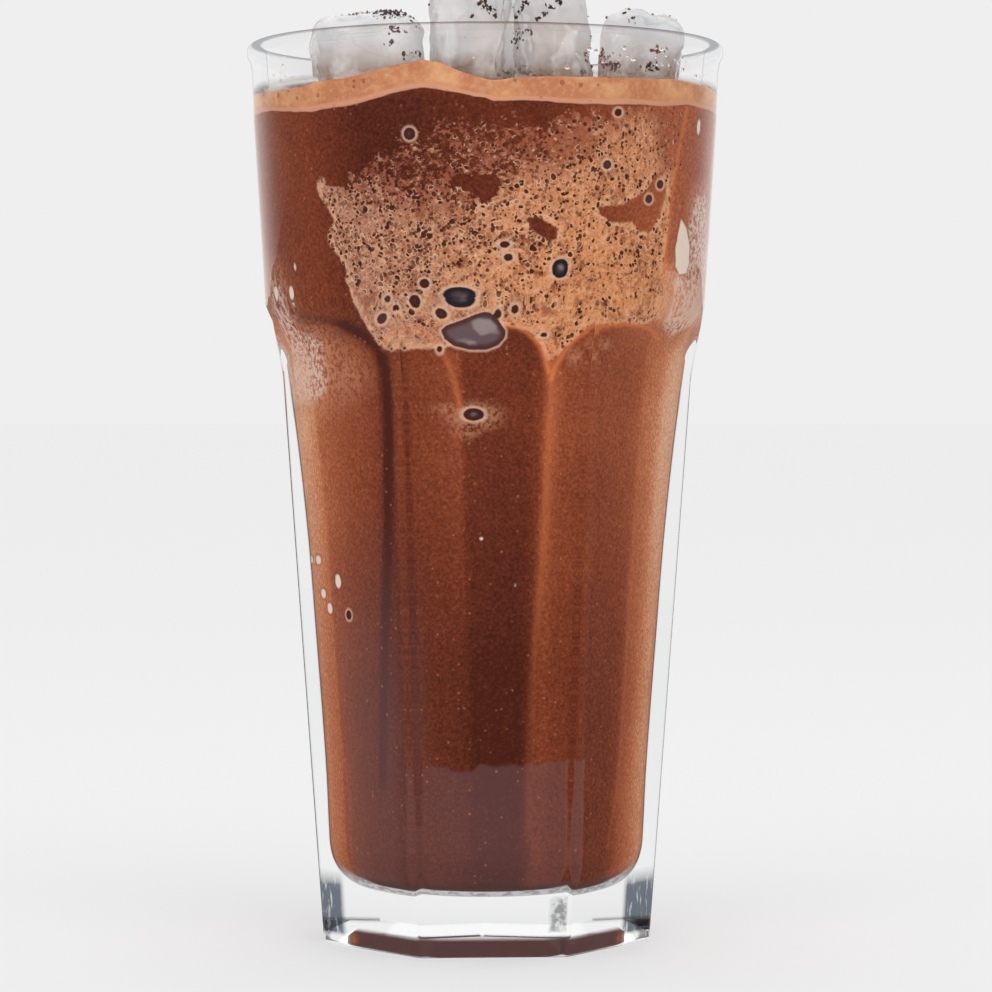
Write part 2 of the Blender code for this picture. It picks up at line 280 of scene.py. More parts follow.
class Graph:
    """A thin hand for wiring shader nodes, in a material or in a group."""

    def __init__(self, tree: bpy.types.NodeTree) -> None:
        """Takes the node tree that the nodes go in."""
        self.tree = tree

    def add(self, kind: str, **settings: object) -> bpy.types.Node:
        """Adds a node and sets its properties.

        Args:
            kind: the node's type without its Shader prefix.
            settings: properties of the node.

        Returns:
            The new node.
        """
        node = self.tree.nodes.new("ShaderNode" + kind)
        for key, value in settings.items():
            setattr(node, key, value)
        return node

    def feed(self, socket: bpy.types.NodeSocket, value: object) -> None:
        """Links a socket to an output, or sets its own value."""
        if isinstance(value, bpy.types.NodeSocket):
            self.tree.links.new(value, socket)
        elif isinstance(value, tuple) and len(value) == 3 and socket.type == "RGBA":
            socket.default_value = (*value, 1.0)
        else:
            socket.default_value = value

    def math(self, operation: str, *values: object) -> bpy.types.NodeSocket:
        """A math node on up to three values, sockets or plain numbers."""
        node = self.add("Math", operation=operation)
        for socket, value in zip(node.inputs, values):
            self.feed(socket, value)
        return node.outputs[0]

    def band(self, value: object, low: float, high: float,
             out_low: float = 0.0, out_high: float = 1.0) -> bpy.types.NodeSocket:
        """Maps a value smoothly from one range to another, held at the ends.

        Args:
            value: the value or socket to map.
            low: the start of its range.
            high: the end of its range, which may be below the start.
            out_low: what the start gives.
            out_high: what the end gives.

        Returns:
            The mapped value's socket.
        """
        node = self.add("MapRange", interpolation_type="SMOOTHSTEP")
        for name, item in (("Value", value), ("From Min", low), ("From Max", high),
                           ("To Min", out_low), ("To Max", out_high)):
            self.feed(node.inputs[name], item)
        return node.outputs["Result"]

    def times(self, first: object, second: object) -> bpy.types.NodeSocket:
        """The product of two values."""
        return self.math("MULTIPLY", first, second)

    def fit(self, value: object, factor: object, offset: object) -> bpy.types.NodeSocket:
        """A value times a factor, with an offset."""
        return self.math("MULTIPLY_ADD", value, factor, offset)

    def parts(self, value: object, kind: str = "SeparateXYZ") -> bpy.types.NodeOutputs:
        """The three parts of a vector, or of a colour with SeparateColor."""
        node = self.add(kind)
        self.feed(node.inputs[0], value)
        return node.outputs

    def cells(self, where: object, scale: float, feature: str = "F1") -> bpy.types.NodeOutputs:
        """Voronoi cells at a place, with a scale in cells for each metre."""
        node = self.add("TexVoronoi", feature=feature)
        self.feed(node.inputs["Vector"], where)
        self.feed(node.inputs["Scale"], scale)
        return node.outputs

    def group(self, tree: bpy.types.NodeTree, values: dict[str, object]) -> bpy.types.NodeOutputs:
        """Runs a shader group on values given by the names of its inputs."""
        node = self.add("Group", node_tree=tree)
        for name, value in values.items():
            self.feed(node.inputs[name], value)
        return node.outputs

    def bump(self, height: object, strength: float, distance: float) -> bpy.types.NodeSocket:
        """A normal bent by a height, over a distance in metres."""
        node = self.add("Bump")
        for name, value in (("Height", height), ("Strength", strength), ("Distance", distance)):
            self.feed(node.inputs[name], value)
        return node.outputs[0]

    def mix(self, share: object, first: object, second: object) -> bpy.types.NodeSocket:
        """Mixes two colours by a share."""
        node = self.add("Mix", data_type="RGBA", blend_type="MIX")
        self.feed(node.inputs[0], share)
        self.feed(node.inputs[6], first)
        self.feed(node.inputs[7], second)
        return node.outputs[2]

    def lay(self, under: object, over: object, value: object, low: float, high: float,
            strength: float = 1.0) -> bpy.types.NodeSocket:
        """Lays one colour over another where a value is near the end of a band.

        Args:
            under: the colour below.
            over: the colour on top.
            value: the value or socket that decides.
            low: where the top colour begins.
            high: where it is at its full strength.
            strength: the share of it there.

        Returns:
            The mixed colour's socket.
        """
        return self.mix(self.band(value, low, high, 0.0, strength), under, over)

    def place(self) -> bpy.types.NodeSocket:
        """The Object coordinates."""
        return self.add("TexCoord").outputs["Object"]

    def value_of(self, name: str) -> bpy.types.NodeSocket:
        """The stored number of that name."""
        return self.add("Attribute", attribute_name=name).outputs["Fac"]

    def noise(self, where: object, scale: float, detail: float = 2.0,
              rough: float = 0.5) -> bpy.types.NodeSocket:
        """A noise value at a place, with a scale in waves for each metre."""
        node = self.add("TexNoise")
        self.feed(node.inputs["Vector"], where)
        self.feed(node.inputs["Scale"], scale)
        self.feed(node.inputs["Detail"], detail)
        self.feed(node.inputs["Roughness"], rough)
        return node.outputs["Fac"]

    def ramp(self, value: object, stops: Sequence[tuple[float, Colour]]) -> bpy.types.NodeSocket:
        """Colours along a value, from stops of place and colour."""
        node = self.add("ValToRGB")
        ramp = node.color_ramp
        while len(ramp.elements) < len(stops):
            ramp.elements.new(0.5)
        for element, (place, colour) in zip(ramp.elements, stops):
            element.position = place
            element.color = (*colour, 1.0)
        self.feed(node.inputs[0], value)
        return node.outputs["Color"]


def new_material(name: str, settings: dict[str, object]) -> tuple[
        bpy.types.Material, Graph, bpy.types.Node]:
    """Starts a material with one Principled shader.

    Args:
        name: the material's name.
        settings: plain values of the shader's inputs.

    Returns:
        The material, its graph and its Principled node.
    """
    mat = bpy.data.materials.new(name)
    mat.use_nodes = True
    shader = mat.node_tree.nodes["Principled BSDF"]
    graph = Graph(mat.node_tree)
    for socket, value in settings.items():
        graph.feed(shader.inputs[socket], value)
    return mat, graph, shader


def new_group(name: str, inputs: Sequence[tuple[str, str, float]],
              outputs: Sequence[tuple[str, str]]) -> tuple[bpy.types.NodeTree, Graph,
                                                          bpy.types.Node, bpy.types.Node]:
    """Starts a shader node group with named sockets.

    Args:
        name: the group's name.
        inputs: name, kind (Float, Vector or Color) and default of each input.
        outputs: name and kind of each output.

    Returns:
        The group, its graph, its input node and its output node.
    """
    tree = bpy.data.node_groups.new(name, "ShaderNodeTree")
    for label, kind, default in inputs:
        socket = tree.interface.new_socket(label, in_out="INPUT", socket_type="NodeSocket" + kind)
        if kind == "Float":
            socket.default_value = default
    for label, kind in outputs:
        tree.interface.new_socket(label, in_out="OUTPUT", socket_type="NodeSocket" + kind)
    graph = Graph(tree)
    return tree, graph, tree.nodes.new("NodeGroupInput"), tree.nodes.new("NodeGroupOutput")


def bubble_hole_group() -> bpy.types.NodeTree:
    """Round bubble holes of uneven size: a mask of the holes and one of their rims."""
    tree, graph, entry, leave = new_group(
        "bubble_holes",
        (("Place", "Vector", 0.0), ("Cells per metre", "Float", 600.0),
         ("Size", "Float", 0.3), ("Share", "Float", 0.5)),
        (("Hole", "Float"), ("Rim", "Float")))
    cells = graph.cells(entry.outputs["Place"], entry.outputs["Cells per metre"])
    parts = graph.parts(cells["Color"], "SeparateColor")
    there = graph.math("LESS_THAN", parts[0], entry.outputs["Share"])
    size = graph.times(entry.outputs["Size"],
                      graph.fit(parts[1], 0.75, 0.4))
    size = graph.times(size, there)
    off = graph.math("SUBTRACT", cells["Distance"], size)
    hole = graph.times(there, graph.band(off, 0.03, -0.05))
    rim = graph.times(there, graph.times(graph.band(off, -0.02, 0.04),
                                         graph.band(off, 0.16, 0.05)))
    graph.feed(leave.inputs["Hole"], hole)
    graph.feed(leave.inputs["Rim"], rim)
    return tree


# The glass


@dataclass(frozen=True)
class ClearGlassFinish:
    """Polished clear glass that lets the lights through, with painted shade on its corners, its
    foot and its lip.
    """

    ior: float = 1.5
    front_shine: float = 0.07
    straight_low: float = 2.4
    straight_high: float = 155.5
    # Painted shade: dark lines down the corners, dark blocks and a grey mark on the foot, grey
    # along the lip and the rim's sides.
    edge_shade: Colour = (0.03, 0.035, 0.045)
    block_shade: Colour = (0.03, 0.04, 0.055)
    lip_shade: Colour = (0.52, 0.54, 0.56)
    lip_low: float = 164.6
    rim_low: float = 155.5
    rim_clearness: float = 0.96
    bead_low: float = 161.8

    def make(self, name: str) -> bpy.types.Material:
        """Makes the material.

        Args:
            name: the material's name.

        Returns:
            Clear glass. Its shadow is clear, and rays that have missed the drink leave
            through the far wall without being thrown back.
        """
        mat, graph, shader = new_material(name, {
            "Roughness": 0.0, "IOR": self.ior, "Transmission Weight": 1.0,
            "Specular Tint": (*([self.front_shine] * 3), 1.0)})
        facing = graph.add("LayerWeight")
        facing.inputs["Blend"].default_value = 0.5
        parts = graph.parts(graph.place())
        away = graph.add("CombineXYZ")
        graph.feed(away.inputs[0], parts["X"])
        graph.feed(away.inputs[1], parts["Y"])
        outward = graph.add("VectorTransform", vector_type="NORMAL", convert_from="OBJECT",
                            convert_to="WORLD")
        graph.feed(outward.inputs[0], away.outputs[0])
        unit = graph.add("VectorMath", operation="NORMALIZE")
        graph.feed(unit.inputs[0], outward.outputs[0])
        turned = graph.add("LayerWeight")
        turned.inputs["Blend"].default_value = 0.5
        graph.feed(turned.inputs["Normal"], unit.outputs[0])
        # Painted shade: a dark line down each panel corner where the wall turns from the viewer.
        steep = graph.times(graph.value_of("corner_shade"),
                           graph.band(turned.outputs["Facing"], 0.62, 0.74))
        streaks = graph.add("Mapping")
        graph.feed(streaks.inputs["Vector"], graph.place())
        streaks.inputs["Scale"].default_value = (1.0, 1.0, 0.2)
        # Painted shade: dark streaky blocks on the foot where it turns from the viewer.
        block = graph.times(graph.value_of("foot_block_shade"),
                           graph.band(turned.outputs["Facing"], 0.54, 0.6))
        block = graph.times(block, graph.band(
            graph.noise(streaks.outputs[0], 900.0, 3.0, 0.7), 0.3, 0.46, 0.55, 1.0))
        tint = graph.mix(steep, (0.985, 0.995, 0.992), self.edge_shade)
        tint = graph.mix(block, tint, self.block_shade)
        # Painted shade: one grey speckled mark on the foot, where a back corner shows through.
        mark = graph.times(graph.value_of("foot_shade_mark"), graph.band(
            graph.noise(graph.place(), 700.0, 3.0, 0.7), 0.4, 0.6, 0.35, 0.9))
        graph.feed(shader.inputs["Base Color"], graph.mix(mark, tint, self.edge_shade))
        height = parts["Z"]
        above = graph.band(height, self.straight_low * MM, (self.straight_low + 1) * MM)
        below = graph.band(height, (self.straight_high + 1) * MM, self.straight_high * MM)
        behind = graph.times(graph.add("NewGeometry").outputs["Backfacing"],
                             graph.times(above, below))
        rim = graph.band(height, self.rim_low * MM, (self.rim_low + 2) * MM,
                         0.0, self.rim_clearness)
        rim = graph.times(rim, graph.band(height, self.bead_low * MM,
                                          (self.bead_low + 0.6) * MM, 1.0, 0.97))
        shadow = graph.add("LightPath").outputs["Is Shadow Ray"]
        share = graph.math("MAXIMUM", graph.math("MAXIMUM", behind, shadow), rim)
        clear = graph.add("BsdfTransparent")
        # Painted shade: a grey line along the lip and grey on the rim's sides where they turn
        # away.
        lip = graph.times(graph.band(height, self.lip_low * MM, (self.lip_low + 0.35) * MM),
                          graph.math("SUBTRACT", 1.0, shadow))
        side = graph.times(rim, graph.band(facing.outputs["Facing"], 0.9, 0.99, 0, 0.55))
        graph.feed(clear.inputs["Color"], graph.mix(
            graph.math("MAXIMUM", lip, side), (1.0, 1.0, 1.0), self.lip_shade))
        both = graph.add("MixShader")
        graph.feed(both.inputs[0], share)
        graph.feed(both.inputs[1], shader.outputs[0])
        graph.feed(both.inputs[2], clear.outputs[0])
        graph.feed(mat.node_tree.nodes["Material Output"].inputs[0], both.outputs[0])
        return mat


@dataclass
class FacetedGlass:
    """The tall glass: flat panels with arched heads below a smooth round band."""

    panels: int = 7
    steps_per_panel: int = 40
    turn_deg: float = 3.2
    foot_corner_radius: float = 30.75
    corner_taper: float = 0.0745
    corner_fillet: float = 1.6
    foot_chamfer: float = 0.9
    arch_spring_z: float = 116.2
    arch_rise: float = 0.8
    shoulder_at_corner: float = 13.7
    shoulder_at_middle: float = 7.5
    band: Path = (
        (120.9, 40.85), (124.9, 41.1), (138.7, 42.0), (150.6, 42.75), (159.5, 43.0))
    rim: Path = (
        (161.7, 43.4), (162.5, 43.85), (163.4, 44.0), (164.4, 43.72), (165.0, 42.7),
        (164.8, 41.5), (163.9, 40.85))
    inside: Path = (
        (162.1, 40.45), (148.6, 39.2), (132.8, 36.9), (117.0, 33.4), (99.1, 29.6),
        (77.3, 26.8), (55.5, 25.1), (33.7, 23.6), (22.0, 23.2), (17.0, 22.9),
        (14.0, 21.8), (12.0, 19.6), (10.6, 16.0), (10.0, 11.0))
    panel_heights: tuple[float, ...] = (
        1.05, 1.8, 2.6, 4.4, 5, 10.4, 11.2, 14, 20, 32, 44, 56, 68, 80, 90, 98)
    # Width of the painted shade line down each corner.
    corner_line: float = 0.8
    # Angles of the painted grey shade mark on the foot.
    foot_shade_mark: tuple[float, float] = (23.4, 27.6)
    ledge_width: float = 1.1
    recess_slope: float = 8.0
    recess_depth: float = 3.4
    finish: ClearGlassFinish = ClearGlassFinish()

    @property
    def half_panel(self) -> float:
        """Half the angle that one panel takes."""
        return math.pi / self.panels

    @property
    def front(self) -> float:
        """The angle of the middle of the front panel."""
        return -math.pi / 2 + math.radians(self.turn_deg)

    def angles(self) -> list[float]:
        """Angles of a ring's points, closer together towards the panels' corners."""
        out = []
        steps = self.steps_per_panel
        for panel in range(self.panels):
            for step in range(steps):
                t = 2 * step / steps - 1
                bent = math.copysign(1 - (1 - abs(t)) ** 1.9, t)
                out.append(self.front + (2 * panel + bent) * self.half_panel)
        return out

    def off_middle(self, angle: float) -> float:
        """Angle from the middle of the nearest panel."""
        turn = (angle - self.front + self.half_panel) % (2 * self.half_panel)
        return turn - self.half_panel

    def panel_radius(self, angle: float, z: float, cut: float = 0.0) -> float:
        """Distance to the faceted wall, its corners rounded.

        Args:
            angle: the angle about the axis.
            z: the height.
            cut: how far the wall is set back.

        Returns:
            The distance from the axis.
        """
        flat = (self.foot_corner_radius + self.corner_taper * z) * math.cos(self.half_panel) - cut
        off = abs(self.off_middle(angle))
        edge = math.atan((flat - self.corner_fillet) * math.tan(self.half_panel) / flat)
        if off <= edge:
            return flat / math.cos(off)
        centre = (flat - self.corner_fillet) / math.cos(self.half_panel)
        gamma = self.half_panel - off
        return centre * math.cos(gamma) + math.sqrt(
            self.corner_fillet ** 2 - (centre * math.sin(gamma)) ** 2)

    def band_radius(self, z: float) -> float:
        """Radius of the round band, carried on down behind the arches."""
        if z < self.band[0][0]:
            return self.band[0][1] - (self.band[0][0] - z) * 0.061
        return table_at(self.band, z)

    def shoulder_point(self, angle: float, share: float) -> Point:
        """Point on the shoulder between a panel and the band.

        Args:
            angle: the angle about the axis.
            share: 0 at the panel and 1 at the band.

        Returns:
            The point, in millimetres.
        """
        across = min(abs(self.off_middle(angle)) / self.half_panel, 1.0)
        arch = (1 - across ** 2.2) ** (1 / 2.2)
        depth = self.shoulder_at_corner
        depth += (self.shoulder_at_middle - self.shoulder_at_corner) * arch
        z = self.arch_spring_z + self.arch_rise * arch - (1 - share) * depth
        blend = 0.45 * share + 0.55 * share * share * (3 - 2 * share)
        low = self.panel_radius(angle, z)
        radius = low + (self.band_radius(z) - low) * blend
        return on_circle(radius, angle, z)

    def panel_ring(self, z: float, cut: float = 0.0) -> Ring:
        """One ring of the faceted wall."""
        return [on_circle(self.panel_radius(a, z, cut), a, z) for a in self.angles()]

    @cached_property
    def inner_line(self) -> tuple[np.ndarray, np.ndarray]:
        """Heights and radii of the inside wall, from the bottom up."""
        rows = np.array(smooth_path(self.inside, 6)[::-1])
        return rows[:, 0], rows[:, 1]

    def inside_radius(self, z: float) -> float:
        """Inside radius of the glass at a height."""
        return float(np.interp(z, *self.inner_line))

    def foot_rings(self) -> list[Ring]:
        """The recess under the foot, the narrow ledge it stands on and the edge."""
        rings = [round_ring(self.recess_depth + 0.3, 0.6, self.angles()),
                 round_ring(self.recess_depth + 0.25, 6.0, self.angles()),
                 round_ring(self.recess_depth + 0.1, 12.0, self.angles())]
        ledge = self.foot_chamfer + self.ledge_width
        for k in range(6):
            share = k / 5
            cut = ledge + self.recess_slope * (1 - share)
            lift = self.recess_depth * (1 - share)
            rings.append(self.panel_ring(lift, cut))
        rings.append(self.panel_ring(0.0, self.foot_chamfer))
        for k in range(1, 5):
            turn = math.pi / 2 * k / 5
            rings.append(self.panel_ring(1.05 * (1 - math.cos(turn)),
                                         self.foot_chamfer * (1 - math.sin(turn))))
        return rings

    def paint(self, obj: bpy.types.Object) -> None:
        """Stores where the glass gets painted shade: down the panels' corners, in the dark blocks
        of the foot and in its grey mark.

        Args:
            obj: the glass.
        """
        places = points_of(obj)
        angles = np.arctan2(places[:, 1], places[:, 0])
        radius = np.hypot(places[:, 0], places[:, 1])
        off = (angles - self.front + self.half_panel) % (2 * self.half_panel) - self.half_panel
        beside = (self.half_panel - np.abs(off)) * radius
        outside = ease(radius, 26.5, 27.5)
        up = places[:, 2]
        along = ease(up, 1.0, 2.5) * ease(up, 110.0, 98.0)
        store_values(obj, "corner_shade", ease(beside, self.corner_line, 0.0) * along * outside)
        store_values(obj, "foot_block_shade", ease(up, 1.8, 2.6) * ease(up, 14.0, 11.0) * outside)
        low, high = (math.radians(a - 90.0) for a in self.foot_shade_mark)
        mark = ease(angles, low - 0.012, low) * ease(angles, high + 0.012, high)
        store_values(obj, "foot_shade_mark", mark * ease(up, 4.4, 5.0) * ease(up, 11.2, 10.4) * outside)

    def build(self) -> bpy.types.Object:
        """Builds the glass as one closed skin.

        Returns:
            The finished piece.
        """
        angles = self.angles()
        rings = self.foot_rings()
        rings += [self.panel_ring(z) for z in self.panel_heights]
        for k in range(33):
            rings.append([self.shoulder_point(a, k / 32) for a in angles])
        rings += [round_ring(z, r, angles) for z, r in self.band[1:]]
        rings += [round_ring(z, r, angles) for z, r in smooth_path(self.rim + self.inside, 5)]
        obj = skin_of_rings("glass_tumbler", rings)
        self.paint(obj)
        obj.data.materials.append(self.finish.make("clear_glass"))
        place_piece(obj, ("glass",))
        return obj


# The froth's level, which the drink, the froth and the flecks share


@dataclass
class FrothLevel:
    """The uneven top and underside of the froth."""

    level: float = 156.0
    back_thickness: float = 4.0
    front: Path = (
        (-39.6, 155.0), (-34.5, 154.6), (-29.3, 155.6), (-24.6, 155.9), (-19.2, 157.2),
        (-15.1, 158.1), (-10.5, 158.5), (-7.5, 157.9), (-5.1, 156.7), (-1.9, 155.7),
        (1.4, 155.1), (4.7, 155.4), (11.0, 155.8), (17.0, 156.0), (25.9, 156.3),
        (31.2, 156.7), (37.1, 157.2))
    front_thickness: Path = (
        (-39.6, 3.0), (-34.5, 3.8), (-29.3, 5.3), (-19.0, 5.1), (-7.5, 4.9), (-5.1, 4.1),
        (0.0, 3.5), (4.7, 4.0), (11.0, 4.6), (17.0, 4.9), (31.2, 5.0), (39.0, 4.4))

    def behind(self, y: float) -> float:
        """0 at the front wall and 1 behind the middle, eased between."""
        back = min(max((y + 30.0) / 34.0, 0.0), 1.0)
        return back * back * (3 - 2 * back)

    def top(self, x: float, y: float) -> float:
        """Height of the froth's top at a place inside the glass.

        Args:
            x: distance to the right of the axis.
            y: distance behind the axis.

        Returns:
            The height above the foot.
        """
        near = table_at(self.front, x)
        rough = 0.35 * noise.noise(Vector((x * 0.12, y * 0.12, 3.0)))
        return near + (self.level - near) * self.behind(y) + rough

    def thickness(self, x: float, y: float) -> float:
        """Thickness of the froth at a place inside the glass.

        Args:
            x: distance to the right of the axis.
            y: distance behind the axis.

        Returns:
            The thickness.
        """
        near = table_at(self.front_thickness, x)
        return near + (self.back_thickness - near) * self.behind(y)


# The drink


@dataclass(frozen=True)
class WallLine:
    """A line of light or shade that the cut panels throw on the drink."""

    path: Path
    width: float
    strength: float
    fade_from: float = 0.0
    fade_to: float = 0.0

    def tone(self, points: np.ndarray) -> np.ndarray:
        """What the line adds to the drink's tone.

        Args:
            points: places on the unrolled wall, in millimetres.

        Returns:
            The amount at each place.
        """
        near = np.exp(-(distance_to(on_flat_wall(self.path), points) / self.width) ** 2)
        share = 1.0
        if self.fade_from != self.fade_to:
            share = 0.25 + 0.75 * ease(points[:, 1], self.fade_to, self.fade_from)
        return near * self.strength * share


@dataclass(frozen=True)
class WallMark:
    """A bubble or drop at the wall, an oval unless it has an outline."""

    angle: float
    height: float
    half_width: float
    half_height: float
    kind: MarkKind = MarkKind.DEEP_HOLE
    outline: Path = ()

    def depth(self, points: np.ndarray, radius: float) -> np.ndarray:
        """How deep places lie inside the mark.

        Args:
            points: places on the unrolled wall, in millimetres.
            radius: the wall's radius at the mark.

        Returns:
            The depth in millimetres, below zero outside.
        """
        if self.outline:
            return depth_inside(on_flat_wall(self.outline), points)
        across = (points[:, 0] / MM_PER_DEGREE - self.angle) * math.radians(1.0) * radius
        reach = np.hypot(across / self.half_width, (points[:, 1] - self.height) / self.half_height)
        return (1.0 - reach) * min(self.half_width, self.half_height)


def ovals(kind: MarkKind, *rows: tuple[float, float, float, float]) -> list[WallMark]:
    """Oval marks of one kind, from angle, height, half width and half height."""
    return [WallMark(*row, kind) for row in rows]


@dataclass(frozen=True)
class WallPainting:
    """Where the drink behind the wall is frothy or holed, and the light and shade painted on it:
    the panels' stripes, caustic and shade lines, a floor reflection and highlights on drops.

    Paths are pairs of degrees to the right of the front and height in millimetres.
    """

    froth_patch: Path = (
        (-50, 138), (-47.9, 135.1), (-45.4, 132.6), (-43.6, 131.1), (-46.1, 129.6), (-46.6, 127.7),
        (-45.2, 126), (-43.1, 124.1), (-41.3, 122.6), (-42.4, 120.7), (-40.9, 118), (-38.4, 116.3),
        (-35.9, 112.8), (-32.5, 109.9), (-27, 108.4), (-25.6, 108.7), (-18.6, 109), (-13.5, 108.4),
        (-8.6, 109.5), (-2.2, 110.8), (3, 113.4), (6.7, 113.4), (13.2, 112.2), (17.4, 109.4),
        (20.4, 106.6), (24.2, 107.2), (29.5, 110.9), (33.3, 113.1), (44.1, 114.5), (55.9, 114.8),
        (58.7, 117.9), (58.5, 119.9), (57.3, 123.1), (57.3, 128.3), (57.2, 134.6), (59.1, 144.5),
        (62.5, 150), (60.9, 152.8), (48.5, 152.9), (35.1, 150.9), (26.5, 149.1), (15.8, 147),
        (3.2, 147.5), (-9, 148.1), (-19, 147.7), (-22.8, 145.3), (-26.9, 143), (-32.4, 140.3),
        (-36.8, 139), (-42.6, 138.1))
    solid_top: Path = (
        (-56, 139.3), (-48.7, 138.7), (-41.9, 136.4), (-35.1, 133.4), (-23.4, 131.3),
        (-12.5, 129.9), (-5, 130.9), (0.8, 134.7),
        (8.5, 137.2), (19.1, 137.3), (27.2, 140.6), (31.5, 144.9), (41.8, 148.4), (46.3, 147.1),
        (51.7, 138.8), (66, 137.6))
    islands: tuple[tuple[float, float, float, float], ...] = (
        (-4.1, 96.5, 4.74, 2.37), (-13.3, 97.7, 1.9, 0.76), (-6.8, 93.9, 2.09, 1.14),
        (30.3, 107.3, 1.33, 1.52), (36.4, 110, 1.14, 0.76))
    smears: tuple[Path, ...] = (
        ((31, 133.3), (39.2, 134.2), (46.6, 136.7), (50.5, 140.7), (53.1, 142.4), (54.3, 135.4),
        (52.6, 131.9), (49.9, 129.5), (45.9, 129.4), (42.3, 130.9), (35.8, 130.8), (31.7, 132.3)),
        ((10.8, 131.3), (15.4, 131.2), (19.8, 129.3), (18.8, 127.6), (15.7, 127.9), (12.5, 129.4)),
        ((-9, 137.5), (-2.3, 138.2), (3.3, 136.1), (0.5, 134), (-5.7, 133.7)))
    thinning: Path = ((-7, 1), (-2, 0.84), (2, 0.64), (9, 0.46), (16, 0.3), (22, 0.1))
    frosted: Path = (
        (-83.7, 124.1), (-73.2, 123.1), (-68.9, 118.4), (-70.5, 115), (-58.4, 113.6),
        (-50.2, 109.8),
        (-44, 106.8), (-39.9, 103.5), (-47.6, 100.6), (-60.7, 98.8), (-74.7, 97.1), (-94.5, 97.3),
        (-90.1, 112.3))
    bubbly: Path = (
        (62.7, 114.2), (60.7, 121.6), (64.6, 128.8), (68.4, 138), (81.3, 138.9), (92, 127),
        (91, 115), (74.5, 110.6))
    peach: Path = (
        (46.6, 124.2), (56.8, 124.5), (73.2, 121.9), (85.7, 121.7), (90, 118.6), (92.1, 116.2),
        (78, 115.5), (57.3, 115.6), (47, 117.6))
    # Outline of the painted floor reflection on the lower front panel.
    reflection_haze: Path = (
        (-29, 33.6), (-23.5, 34.3), (-17.5, 33.9), (-10, 32.8), (-3.1, 34.3), (6.3, 34.1),
        (19.4, 34.6), (37.2, 34.9), (39.6, 7.9), (-31.3, 7.9))
    # Painted light and shade across the panels: the tone by angle low down, higher up and near the
    # top.
    across_low: Path = (
        (-90, 0.8), (-81.7, 0.72), (-73.2, 0.64), (-71.7, 0.55), (-62.5, 0.46), (-52.8, 0.32),
        (-43.1, 0.23), (-33.5, 0.15), (-29.6, 0.13), (-27.7, 0.2), (-14.3, 0.16), (-7.6, 0.12),
        (-5.2, 0.03), (4.8, 0.0), (14.3, 0.03), (18.1, 0.14), (20, 0.3), (23.9, 0.36), (28.7, 0.3),
        (36.3, 0.28), (37.8, 0.22), (43.1, 0.25), (52.8, 0.28), (59.6, 0.36), (63.5, 0.5),
        (72.2, 0.65),
        (81.7, 0.82), (90, 0.9))
    across_high: Path = (
        (-90, 0.95), (-81.2, 0.95), (-72.8, 0.82), (-70.9, 0.68), (-62.2, 0.6), (-52.5, 0.5),
        (-42.9, 0.44), (-35.2, 0.34), (-33.3, 0.22), (-29.5, 0.2), (-27.5, 0.34), (-14.2, 0.4),
        (-9, 0.46), (-7.1, 0.26), (4.7, 0.25), (14.2, 0.24), (19, 0.32), (21.8, 0.52),
        (24.7, 0.56), (28.5, 0.46), (34.2, 0.46), (36.1, 0.42), (42.9, 0.46), (52.5, 0.5),
        (60.2, 0.58),
        (63.1, 0.7), (71.9, 0.8), (81.2, 0.98), (90, 1.0))
    across_top: Path = (
        (-90, 0.8), (-80, 0.46), (-70.4, 0.38), (-61.7, 0.37), (-52.1, 0.33), (-42.5, 0.22),
        (-33, 0.07), (-23.5, 0.08), (-14.1, 0.12), (-4.7, 0.16), (14.1, 0.18), (20.7, 0.26),
        (28.3, 0.38), (37.8, 0.45), (47.3, 0.55), (55, 0.6), (62.7, 0.6), (71.3, 0.56), (80, 0.6),
        (90, 0.9))
